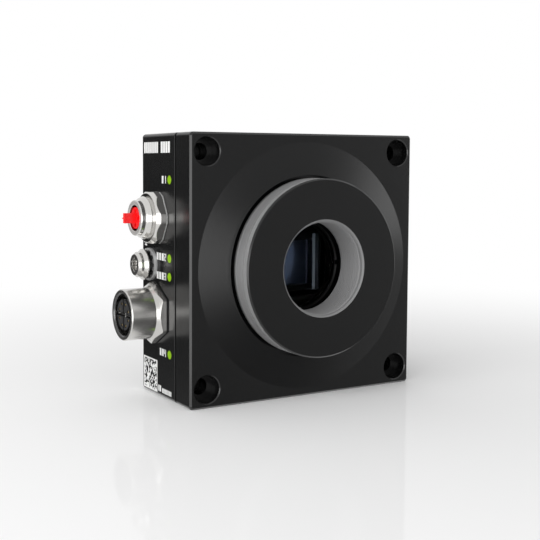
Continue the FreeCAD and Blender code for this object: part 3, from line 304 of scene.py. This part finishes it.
floorLook = {
    "reach": 3000.0,
    "tone": (0.91, 0.91, 0.91),
    "glow": 0.02,            # share of plain white, so that the shadow stays soft
    "gloss": 0.06,
    "glossRoughness": 0.05,
    "fadeStart": 45.0,       # the floor turns into the white of the room between these distances
    "fadeEnd": 280.0,
}


def floorPaper():
    look = floorLook
    sheet = newSheet("paleFloor")
    matt = sheet.add("BsdfDiffuse", sockets={"Color": look["tone"]})
    sheen = sheet.add("BsdfGlossy", sockets={"Color": (1, 1, 1),
                                             "Roughness": look["glossRoughness"]})
    paper = sheet.mixShaders(look["gloss"], matt, sheen)
    white = sheet.add("Emission", sockets={"Color": (1, 1, 1), "Strength": 1.0})
    far = sheet.fade(sheet.length(sheet.place()), look["fadeStart"] * mm, look["fadeEnd"] * mm)
    cameraRay = sheet.add("LightPath", result="Is Camera Ray")
    glow = cameraRay * (look["glow"] + (1 - look["glow"]) * far)
    return sheet.surface(sheet.mixShaders(glow, paper, white))


def layFloor():
    reach = floorLook["reach"] * mm
    corners = [(x * reach, y * reach, cadLow.z) for x, y in ((-1, -1), (1, -1), (1, 1), (-1, 1))]
    mesh = bpy.data.meshes.new("floor")
    mesh.from_pydata(corners, [], [(0, 1, 2, 3)])
    mesh.materials.append(floorPaper())
    floor = bpy.data.objects.new("floor", mesh)
    bpy.context.scene.collection.objects.link(floor)
    floor.visible_glossy = False      # the room's own white and dim sides are what metal shows


placeCamera()
paintRoom()
hangSoftboxes()
layFloor()
print("view, room and floor are set")


# Finishes. Each function makes one material from the dictionary beside it. Noise scales are waves
# in a metre, and grain and lines are millimetres from one to the next.
housingLook = {
    "tone": (0.0040, 0.0041, 0.0042),
    "patchy": (0.0055, 0.0056, 0.0058),
    "patches": 45,
    "roughness": 0.24,
    "spread": 0.06,
    "grain": 0.35,           # blasted grain
    "grainDepth": 0.004,
    "inside": (8.6, 30.0, 20.0),     # painted shade inside the housing, from here to there along the lens, this far round it
    "seam": (16.5, 17.36),           # painted shade in the gap between the halves
    # the painted shade: darker than the tone, and rougher and less glossy
    "dull": (0.0008, 0.0008, 0.0008),
    "dullRoughness": 0.85,
    "dullSpread": 0.10,
    "dullGloss": 0.1,
}


def anodisedHousing():
    look = housingLook
    sheet = newSheet("blackAnodised")
    spot = sheet.place()
    patches = sheet.noise(spot, look["patches"], 3)
    grain = sheet.noise(spot, 1 / (look["grain"] * mm), 2)
    y = sheet.parts(spot)[1]
    outside = sheet.add("BsdfPrincipled", sockets={
        "Base Color": sheet.blend(patches, look["tone"], look["patchy"]),
        "Roughness": around(look["roughness"], look["spread"], patches),
        "Normal": sheet.bump(grain, look["grainDepth"]),
    })
    # painted shade for the inside and the seam, a darker and duller black
    dull = sheet.add("BsdfPrincipled", sockets={
        "Base Color": sheet.blend(patches, look["dull"], look["tone"]),
        "Roughness": around(look["dullRoughness"], look["dullSpread"], patches),
        "Specular IOR Level": look["dullGloss"],
    })
    front, back, reach = look["inside"]
    low, high = look["seam"]
    # where the painted shade goes: inside the housing and in the seam
    inside = (y > front * mm) * (y < back * mm) * (sheet.radius(spot) < reach * mm)
    seam = (y > low * mm) * (y < high * mm)
    return sheet.surface(sheet.mixShaders(1 - (1 - inside) * (1 - seam), outside, dull))


turnedLooks = {
    "adapter": {"tone": (0.56, 0.56, 0.565), "metal": 0.7, "roughness": 0.42, "gloss": 0.5,
                "lines": 0.11, "depth": 0.0012, "rounded": 0},
    "lockRing": {"tone": (0.18, 0.18, 0.18), "metal": 0.6, "roughness": 0.42, "gloss": 0.5,
                 "lines": 0.09, "depth": 0.001, "rounded": 0},
    "blackRing": {"tone": (0.001, 0.001, 0.001), "metal": 0.0, "roughness": 0.4, "gloss": 0.12,
                  "lines": 0.12, "depth": 0.001, "rounded": 0.15},
}
turnedCloud = {"scale": 60, "darkest": 0.88, "spread": 0.08}

# bore and grip grooves are darker and duller than the sides, which is painted shade, and the front
# is black as far as its outer bevel
adapterShade = {
    "radius": 13.12,
    "bevel": 0.42,
    "grooves": 2.5,
    "tone": (0.22, 0.22, 0.222),
    "roughness": 0.6,
}


def turnedMetal(name):
    # turned on a lathe: fine rings along the lens axis and from the middle outwards
    look = turnedLooks[name]
    sheet = newSheet(name + "Turned")
    spot = sheet.place()
    y = sheet.parts(spot)[1]
    radius = sheet.radius(spot)
    line = look["lines"] * mm
    track = sheet.add("CombineXYZ", sockets={"X": y / line, "Y": radius / line})
    rings = sheet.noise(track, 1.0, 2, 0.6)
    cloud = sheet.noise(spot, turnedCloud["scale"], 2)
    color = sheet.blend(cloud, dimmed(look["tone"], turnedCloud["darkest"]), look["tone"])
    rough = around(look["roughness"], turnedCloud["spread"], cloud)
    metal = look["metal"]
    if name == "adapter":
        # painted shade: the bore and the grip grooves are darker, rougher and not metal
        bore = radius < adapterShade["radius"] * mm
        front = (y < adapterShade["bevel"] * mm) * (1 - bore)
        dull = bore + (1 - bore) * (1 - front) * (y < adapterShade["grooves"] * mm)
        color = sheet.blend(dull, color, adapterShade["tone"])
        color = sheet.blend(front, color, housingLook["tone"])
        rough = rough - (look["roughness"] - housingLook["roughness"]) * front
        rough = rough + (adapterShade["roughness"] - look["roughness"]) * dull
        metal = metal * (1 - front) * (1 - dull)
    return sheet.surface(sheet.add("BsdfPrincipled", sockets={
        "Base Color": color,
        "Metallic": metal,
        "Roughness": rough,
        "Specular IOR Level": look["gloss"],
        "Normal": sheet.bump(rings, look["depth"], look["rounded"]),
    }))


platedLooks = {
    "nickel": {"tone": (0.67, 0.66, 0.64), "roughness": 0.14, "spread": 0.06, "scratches": 0.0006},
    "screwNickel": {"tone": (0.64, 0.63, 0.61), "roughness": 0.24, "spread": 0.06,
                    "scratches": 0.0006},
    "satinNickel": {"tone": (0.60, 0.59, 0.57), "roughness": 0.24, "spread": 0.08,
                    "scratches": 0.001},
    "zinc": {"tone": (0.62, 0.62, 0.63), "roughness": 0.34, "spread": 0.08, "scratches": 0.001},
    "paleZinc": {"tone": (0.52, 0.52, 0.52), "roughness": 0.45, "spread": 0.08, "scratches": 0.001,
                 "metal": 0.3},
    "darkZinc": {"tone": (0.06, 0.06, 0.06), "roughness": 0.36, "spread": 0.08, "scratches": 0.001},
    "gold": {"tone": (0.55, 0.40, 0.16), "roughness": 0.32, "spread": 0.08, "scratches": 0.0006},
    "blackScrew": {"tone": (0.03, 0.03, 0.032), "roughness": 0.35, "spread": 0.10,
                   "scratches": 0.001},
}
platedCloud = {"scale": 350, "darkest": 0.9, "scratch": (900, 9000, 9000), "edges": 0.15}

# duller places: the face of the power connector's lip, which is rougher, and the mouth of the data
# connector, which is darker with painted shade
lipAndShadedMouth = {
    "lip": {"x": -42.38, "rougher": 0.42},
    "mouth": {"x": -45.76, "y": 29.0, "z": -13.1, "radius": 6.03, "tone": (0.10, 0.10, 0.10)},
}


def platedMetal(name):
    look = platedLooks[name]
    sheet = newSheet(name + "Plated")
    spot = sheet.place()
    x, y, z = sheet.parts(spot)
    cloud = sheet.noise(spot, platedCloud["scale"], 3)
    scratches = sheet.noise(sheet.stretch(spot, platedCloud["scratch"]), 1.0, 2, 0.6)
    color = sheet.blend(cloud, dimmed(look["tone"], platedCloud["darkest"]), look["tone"])
    rough = around(look["roughness"], look["spread"], cloud)
    if name == "nickel":
        lip = lipAndShadedMouth["lip"]
        rough = rough + lip["rougher"] * (x < lip["x"] * mm)
    # painted shade darkens the mouth of the data connector
    if name == "satinNickel":
        mouth = lipAndShadedMouth["mouth"]
        across, upward = y - mouth["y"] * mm, z - mouth["z"] * mm
        inShadedMouth = across * across + upward * upward < (mouth["radius"] * mm) ** 2
        color = sheet.blend(inShadedMouth * (x < mouth["x"] * mm), color, mouth["tone"])
    return sheet.surface(sheet.add("BsdfPrincipled", sockets={
        "Base Color": color,
        "Metallic": look.get("metal", 1.0),
        "Roughness": rough,
        "Normal": sheet.bump(scratches, look["scratches"], platedCloud["edges"]),
    }))


mouldedLooks = {
    "blackPlastic": {"tone": (0.026, 0.026, 0.027), "roughness": 0.42, "grain": 0.25,
                     "depth": 0.003},
    "chipPlastic": {"tone": (0.014, 0.014, 0.015), "roughness": 0.6, "grain": 0.15, "depth": 0.004},
    "ironPowder": {"tone": (0.05, 0.05, 0.052), "roughness": 0.7, "grain": 0.12, "depth": 0.006},
    "heatPad": {"tone": (0.42, 0.44, 0.47), "roughness": 0.8, "grain": 0.3, "depth": 0.005},
    "rubber": {"tone": (0.009, 0.009, 0.009), "roughness": 0.75, "grain": 0.3, "depth": 0.004},
    "paleSilicone": {"tone": (0.55, 0.55, 0.54), "roughness": 0.5, "grain": 0.3, "depth": 0.003},
    "redPlug": {"tone": (0.92, 0.006, 0.008), "roughness": 0.38, "grain": 0.5, "depth": 0.003,
                "glow": 0.1},        # a faint glow, painted light that brightens the red
    "clearChip": {"tone": (0.45, 0.7, 0.12), "roughness": 0.2, "grain": 0.2, "depth": 0.001},
    "whiteInk": {"tone": (0.84, 0.84, 0.83), "roughness": 0.55, "grain": 0.12, "depth": 0.002},
}
mouldedCloud = {"scale": 300, "darkest": 0.82, "spread": 0.1}


def mouldedPart(name):
    look = mouldedLooks[name]
    sheet = newSheet(name + "Moulded")
    spot = sheet.place()
    grain = sheet.noise(spot, 1 / (look["grain"] * mm), 2)
    cloud = sheet.noise(spot, mouldedCloud["scale"], 2)
    color = sheet.blend(cloud, dimmed(look["tone"], mouldedCloud["darkest"]), look["tone"])
    sockets = {
        "Base Color": color,
        "Roughness": around(look["roughness"], mouldedCloud["spread"], cloud),
        "Normal": sheet.bump(grain, look["depth"]),
    }
    # a glow is painted light: the part shines though it is no lamp
    if "glow" in look:
        sockets["Emission Color"] = color
        sockets["Emission Strength"] = look["glow"]
    return sheet.surface(sheet.add("BsdfPrincipled", sockets=sockets))


lightLook = {
    "tone": (0.235, 0.445, 0.003),
    "rim": (0.030, 0.055, 0.001),     # in the shadow of its hole
    # the pipes glow though they are no lamp, which is painted light
    "glow": 0.14,
    "clear": 1.12,                    # radius inside the rim
    "alongY": 20.55,
    "heights": (23.5, 2.5),           # above and below the middle
    "cloud": 900,
    "darkest": 0.88,
    "roughness": 0.3,
    "spread": 0.1,
    "gloss": 0.25,
}


def litPipe():
    look = lightLook
    sheet = newSheet("litPipe")
    spot = sheet.place()
    x, y, z = sheet.parts(spot)
    far, near = (abs(abs(z) - height * mm) for height in look["heights"])
    offAxis = far.reckon("MINIMUM", far, near)
    along = y - look["alongY"] * mm
    rim = along * along + offAxis * offAxis > (look["clear"] * mm) ** 2
    cloud = sheet.noise(spot, look["cloud"], 2)
    tone = sheet.blend(cloud, dimmed(look["tone"], look["darkest"]), look["tone"])
    color = sheet.blend(rim, tone, look["rim"])
    return sheet.surface(sheet.add("BsdfPrincipled", sockets={
        "Base Color": color,
        # the glow is painted light
        "Emission Color": color,
        "Emission Strength": look["glow"],
        "Roughness": around(look["roughness"], look["spread"], cloud),
        "Specular IOR Level": look["gloss"],
    }))


glassLooks = {
    "coverGlass": {"tint": (0.96, 0.98, 1.0), "index": 1.03, "roughness": 0.0},   # coated
    "sensorLid": {"tint": (0.72, 0.84, 1.0), "index": 1.13, "roughness": 0.02},
}
glassDust = {"scale": 800, "rougher": 0.01}


def clearGlass(name):
    look = glassLooks[name]
    sheet = newSheet(name + "Clear")
    dust = sheet.noise(sheet.place(), glassDust["scale"], 2)
    return sheet.surface(sheet.add("BsdfPrincipled", sockets={
        "Base Color": sheet.blend(dust, look["tint"], (1, 1, 1)),
        "Roughness": look["roughness"] + glassDust["rougher"] * dust,
        "Transmission Weight": 1.0,
        "IOR": look["index"],
    }))


siliconLook = {
    "pixels": (0.056, 0.069, 0.098),   # tints the mirror image in the silicon
    "darkest": 0.9,
    "weave": 4000,
    "roughness": 0.13,
    "pads": (0.030, 0.031, 0.045),     # a row of bond pads on either side
    "padsFrom": 5.7,
    "padsTo": 6.2,
    "padRougher": 0.3,
}


def siliconFace():
    look = siliconLook
    sheet = newSheet("siliconFace")
    spot = sheet.place()
    across = abs(sheet.parts(spot)[0])
    pads = (across > look["padsFrom"] * mm) * (across < look["padsTo"] * mm)
    weave = sheet.noise(spot, look["weave"], 1)
    pixels = sheet.blend(weave, dimmed(look["pixels"], look["darkest"]), look["pixels"])
    return sheet.surface(sheet.add("BsdfPrincipled", sockets={
        "Base Color": sheet.blend(pads, pixels, look["pads"]),
        "Metallic": 1 - pads,
        "Roughness": look["roughness"] + look["padRougher"] * pads,
    }))


ceramicLook = {
    "tone": (0.0012, 0.0012, 0.0014),
    "darkest": 0.7,
    "grain": 3000,
    "grainDepth": 0.002,
    "roughness": 0.55,
    "spread": 0.1,
    "gloss": 0.12,
    "finger": (0.20, 0.20, 0.195),
    "gap": (0.16, 0.16, 0.16),
    "fingerPitch": 0.36,
    "fingerShare": 0.55,
    "fingersFrom": 7.95,      # bond fingers on the shelf at either side of the chip
    "fingersTo": 9.0,
    "fingersHigh": 8.0,
    "edge": (0.030, 0.031, 0.032),
    "edgeFrom": 9.3,
    "edgeTo": 10.1,
}


def ceramicPackage():
    look = ceramicLook
    sheet = newSheet("ceramicPackage")
    spot = sheet.place()
    x, y, z = sheet.parts(spot)
    across = abs(x)
    column = abs(z) < look["fingersHigh"] * mm

    def between(first, last):
        return (across > look[first] * mm) * (across < look[last] * mm) * column

    along = sheet.add("Math", {"operation": "FRACT"}, {0: z / (look["fingerPitch"] * mm)})
    fingers = sheet.blend(along < look["fingerShare"], look["gap"], look["finger"])
    grain = sheet.noise(spot, look["grain"], 2)
    color = sheet.blend(grain, dimmed(look["tone"], look["darkest"]), look["tone"])
    color = sheet.blend(between("edgeFrom", "edgeTo"), color, look["edge"])
    return sheet.surface(sheet.add("BsdfPrincipled", sockets={
        "Base Color": sheet.blend(between("fingersFrom", "fingersTo"), color, fingers),
        "Roughness": around(look["roughness"], look["spread"], grain),
        "Specular IOR Level": look["gloss"],
        "Normal": sheet.bump(grain, look["grainDepth"]),
    }))


boardLooks = {
    "green": {"mask": (0.010, 0.055, 0.028), "track": (0.022, 0.11, 0.05)},
    "black": {"mask": (0.0015, 0.0015, 0.0015), "track": (0.003, 0.003, 0.003)},
}
boardTracks = {"scale": 700.0, "width": 0.06, "height": 0.01, "roughness": 0.32, "rougher": 0.1}


def circuitBoard(name):
    look = boardLooks[name]
    sheet = newSheet(name + "Board")
    cells = sheet.add("TexVoronoi", {"feature": "DISTANCE_TO_EDGE"},
                      {"Vector": sheet.place(), "Scale": boardTracks["scale"]})
    tracks = cells < boardTracks["width"]
    return sheet.surface(sheet.add("BsdfPrincipled", sockets={
        "Base Color": sheet.blend(tracks, look["mask"], look["track"]),
        "Roughness": boardTracks["roughness"] + boardTracks["rougher"] * tracks,
        "Normal": sheet.bump(tracks, boardTracks["height"]),
    }))


def dress(finish, *names):
    # gives one finish to the CAD nodes of those names
    for name in names:
        slots = nodes[name].data.materials
        slots.clear()
        slots.append(finish)


adapterMetal = turnedMetal("adapter")
whiteInk = mouldedPart("whiteInk")
dress(anodisedHousing(), "front_housing", "rear_housing")
dress(adapterMetal, "lens_adapter")
dress(turnedMetal("lockRing"), "adapter_lock_ring")
dress(turnedMetal("blackRing"), "glass_retaining_ring")
dress(clearGlass("coverGlass"), "cover_glass")
dress(clearGlass("sensorLid"), "sensor_lid")
dress(siliconFace(), "sensor_chip")
dress(ceramicPackage(), "sensor_package")
dress(circuitBoard("black"), "sensor_board")
dress(circuitBoard("green"), "processor_board", "connector_board")
dress(platedMetal("nickel"), "power_connector_shell")
dress(platedMetal("satinNickel"), "data_connector_shell", "data_connector_shield")
dress(platedMetal("screwNickel"), "earth_screw")
dress(platedMetal("paleZinc"), "earth_washer")
dress(platedMetal("darkZinc"), "earth_toothed_washer")
dress(platedMetal("zinc"), "board_spacers", "board_screws", "connector_board_screws")
dress(platedMetal("gold"), "power_connector_pins", "data_connector_contacts")
dress(platedMetal("blackScrew"), "closing_screws")
dress(mouldedPart("rubber"), "housing_gasket", "adapter_seal_ring", "data_connector_seal")
dress(mouldedPart("paleSilicone"), "power_connector_seal")
dress(mouldedPart("blackPlastic"), "power_connector_insert", "data_connector_insert", "link_plug",
      "link_socket", "side_plug")
dress(mouldedPart("chipPlastic"), "processor_chip", "memory_chip_1", "memory_chip_2")
dress(mouldedPart("ironPowder"), "power_coil")
dress(mouldedPart("heatPad"), "thermal_pad")
dress(mouldedPart("clearChip"), *[f"status_light_{number}" for number in range(1, 5)])
dress(litPipe(), *[f"light_pipe_{number}" for number in range(1, 5)])
dress(mouldedPart("redPlug"), "dust_plug")
print("the nodes have their finishes")


def newPiece(name, mesh, finish):
    piece = bpy.data.objects.new(name, mesh)
    bpy.context.scene.collection.objects.link(piece)
    mesh.materials.append(finish)
    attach(piece, "root")


# Thread of the lens mount, cut as one long ridge round the inside of the adapter.
lensThread = {
    "pitch": 25.4 / 32,
    "depth": 0.36,
    "crest": 0.125,          # width of its flat top, as a share of the pitch
    "root": 0.03,            # how far the ridge's foot goes into the wall
    "lead": 0.45,            # middle of the first and last turn, from the ends of the bore
    "bevel": 0.4,            # the bore starts behind this bevel
    "steps": 120,            # per turn
    "runOut": 30,            # steps in which the ridge grows to its full height
}


def threadRow(work, bore, step, count):
    # the four corners of the ridge at one step of its turns
    pitch, depth, root = (lensThread[word] for word in ("pitch", "depth", "root"))
    half, crest = pitch / 2, pitch * lensThread["crest"] / 2
    angle = 2 * math.pi * step / lensThread["steps"]
    middle = lensThread["bevel"] + lensThread["lead"] + pitch * step / lensThread["steps"]
    grown = min(1.0, step / lensThread["runOut"], (count - step) / lensThread["runOut"])
    height = -depth * grown
    row = []
    for outward, along in ((root, -half), (height, -crest), (height, crest), (root, half)):
        radius = bore + outward
        row.append(work.verts.new((radius * math.cos(angle) * mm, (middle + along) * mm,
                                   radius * math.sin(angle) * mm)))
    return row


def cutLensThread():
    mount = mounts["lens_mount"]["dims"]
    turns = (mount["length_mm"] - 2 * lensThread["lead"]) / lensThread["pitch"]
    count = int(turns * lensThread["steps"])
    work = bmesh.new()
    rows = [threadRow(work, mount["r_mm"], step, count) for step in range(count + 1)]
    for first, second in zip(rows, rows[1:]):
        for i in range(4):
            j = (i + 1) % 4
            work.faces.new((first[i], first[j], second[j], second[i]))
    work.faces.new(rows[0])
    work.faces.new(reversed(rows[-1]))
    bmesh.ops.recalc_face_normals(work, faces=work.faces)
    mesh = bpy.data.meshes.new("lensThread")
    work.to_mesh(mesh)
    work.free()
    newPiece("lensThread", mesh, adapterMetal)


cutLensThread()
print("the lens thread is cut")


# Print on the connector wall: plain bars, numbers, an earth sign and a checked patch. Places are
# given from the lens flange: along is towards the back, up is upwards, and numbers read towards the
# front.
ink = {"proud": 0.02, "sunk": 0.03}


def layInk(name, blocks):
    # thin raised fields of ink on the connector wall, from (along, up, along, up) rectangles
    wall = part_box("rear_housing")[0].x
    outside, inside = wall - ink["proud"] * mm, wall + ink["sunk"] * mm
    work = bmesh.new()
    for firstAlong, firstUp, lastAlong, lastUp in blocks:
        low = Vector((outside, min(firstAlong, lastAlong) * mm, min(firstUp, lastUp) * mm))
        high = Vector((inside, max(firstAlong, lastAlong) * mm, max(firstUp, lastUp) * mm))
        size = high - low
        for vert in bmesh.ops.create_cube(work, size=1)["verts"]:
            vert.co = low + Vector(((vert.co.x + 0.5) * size.x, (vert.co.y + 0.5) * size.y,
                                    (vert.co.z + 0.5) * size.z))
    mesh = bpy.data.meshes.new(name)
    work.to_mesh(mesh)
    work.free()
    newPiece(name, mesh, whiteInk)


# rows of plain bars at the top and the foot of the wall, each bar with its share of the pitch
barRows = {
    "titleBars": {"from": 36.5, "to": 27.2, "low": 30.7, "high": 33.7, "count": 7, "share": 0.80},
    "titleTail": {"from": 25.7, "to": 19.9, "low": 30.7, "high": 33.7, "count": 4, "share": 0.80},
    "footBars": {"from": 27.5, "to": 25.5, "low": -34.6, "high": -32.9, "count": 2, "share": 0.76},
    "footTail": {"from": 25.0, "to": 19.2, "low": -34.7, "high": -33.4, "count": 7, "share": 0.74},
}


def barBlocks(row):
    pitch = (row["to"] - row["from"]) / row["count"]
    starts = [row["from"] + i * pitch for i in range(row["count"])]
    return [(start, row["low"], start + row["share"] * pitch, row["high"]) for start in starts]


# where each light's label starts and ends, the height of its middle, and its bars before the number
lightLabels = [
    {"from": 25.1, "to": 22.4, "middle": 23.5, "count": 1},
    {"from": 28.4, "to": 22.3, "middle": 2.6, "count": 3},
    {"from": 28.4, "to": 22.3, "middle": -2.6, "count": 3},
    {"from": 26.5, "to": 22.5, "middle": -23.5, "count": 2},
]
labelLook = {"height": 2.0, "numberWidth": 1.25, "stroke": 0.42, "share": 0.72}

# strokes of a number, each from one corner to another of a grid 1 wide and 2 high
numberStrokes = {
    1: [(1, 0, 1, 2)],
    2: [(0, 2, 1, 2), (1, 1, 1, 2), (0, 1, 1, 1), (0, 0, 0, 1), (0, 0, 1, 0)],
    3: [(0, 2, 1, 2), (1, 0, 1, 2), (0, 1, 1, 1), (0, 0, 1, 0)],
    4: [(0, 1, 0, 2), (0, 1, 1, 1), (1, 0, 1, 2)],
}


def numberBlocks(number, start, middle):
    # the strokes of one number whose left edge is at start
    half = labelLook["stroke"] / 2
    wide, tall = labelLook["numberWidth"] - 2 * half, labelLook["height"] / 2 - half
    blocks = []
    for x0, y0, x1, y1 in numberStrokes[number]:
        thick = half if x0 == x1 else 0
        blocks.append((start - x0 * wide + thick, middle + (y0 - 1) * tall - half,
                       start - x1 * wide - thick, middle + (y1 - 1) * tall + half))
    return blocks


def labelBlocks(number, label):
    start = label["to"] + labelLook["numberWidth"]
    half = labelLook["height"] / 2
    bars = barBlocks({"from": label["from"], "to": start, "low": label["middle"] - half,
                      "high": label["middle"] + half, "count": label["count"],
                      "share": labelLook["share"]})
    return bars + numberBlocks(number, start, label["middle"])


# an upright on three bars that get shorter downwards, each with its height and width
earthSign = {
    "middle": 35.4,
    "top": 8.3,
    "bars": [(6.8, 3.6), (6.0, 2.5), (5.2, 1.4)],
    "stroke": 0.5,
}


def earthBlocks():
    middle, half = earthSign["middle"], earthSign["stroke"] / 2
    blocks = [(middle - half, earthSign["bars"][0][0], middle + half, earthSign["top"])]
    for up, width in earthSign["bars"]:
        blocks.append((middle - width / 2, up - half, middle + width / 2, up + half))
    return blocks


# a framed patch of small squares, filled by chance
squarePatch = {
    "from": 37.0,
    "to": 28.1,
    "low": -35.2,
    "high": -26.3,
    "frame": 0.4,
    "cells": 20,
    "filled": 0.46,
    "seed": 7,
}


def patchBlocks():
    patch = squarePatch
    left, right, low, high = (patch[word] for word in ("from", "to", "low", "high"))
    innerLeft, innerRight = left - patch["frame"], right + patch["frame"]
    innerLow, innerHigh = low + patch["frame"], high - patch["frame"]
    blocks = [(left, low, innerLeft, high), (innerRight, low, right, high),
              (innerLeft, low, innerRight, innerLow), (innerLeft, innerHigh, innerRight, high)]
    wide = (innerRight - innerLeft) / patch["cells"]
    tall = (innerHigh - innerLow) / patch["cells"]
    draw = random.Random(patch["seed"])
    for i in range(patch["cells"]):
        for j in range(patch["cells"]):
            if draw.random() < patch["filled"]:
                blocks.append((innerLeft + i * wide, innerLow + j * tall,
                               innerLeft + (i + 1) * wide, innerLow + (j + 1) * tall))
    return blocks


for name, row in barRows.items():
    layInk(name, barBlocks(row))
for number, label in enumerate(lightLabels, 1):
    layInk(f"lightNumber_{number}", labelBlocks(number, label))
layInk("earthSign", earthBlocks())
layInk("squarePatch", patchBlocks())
print("the connector wall is printed")
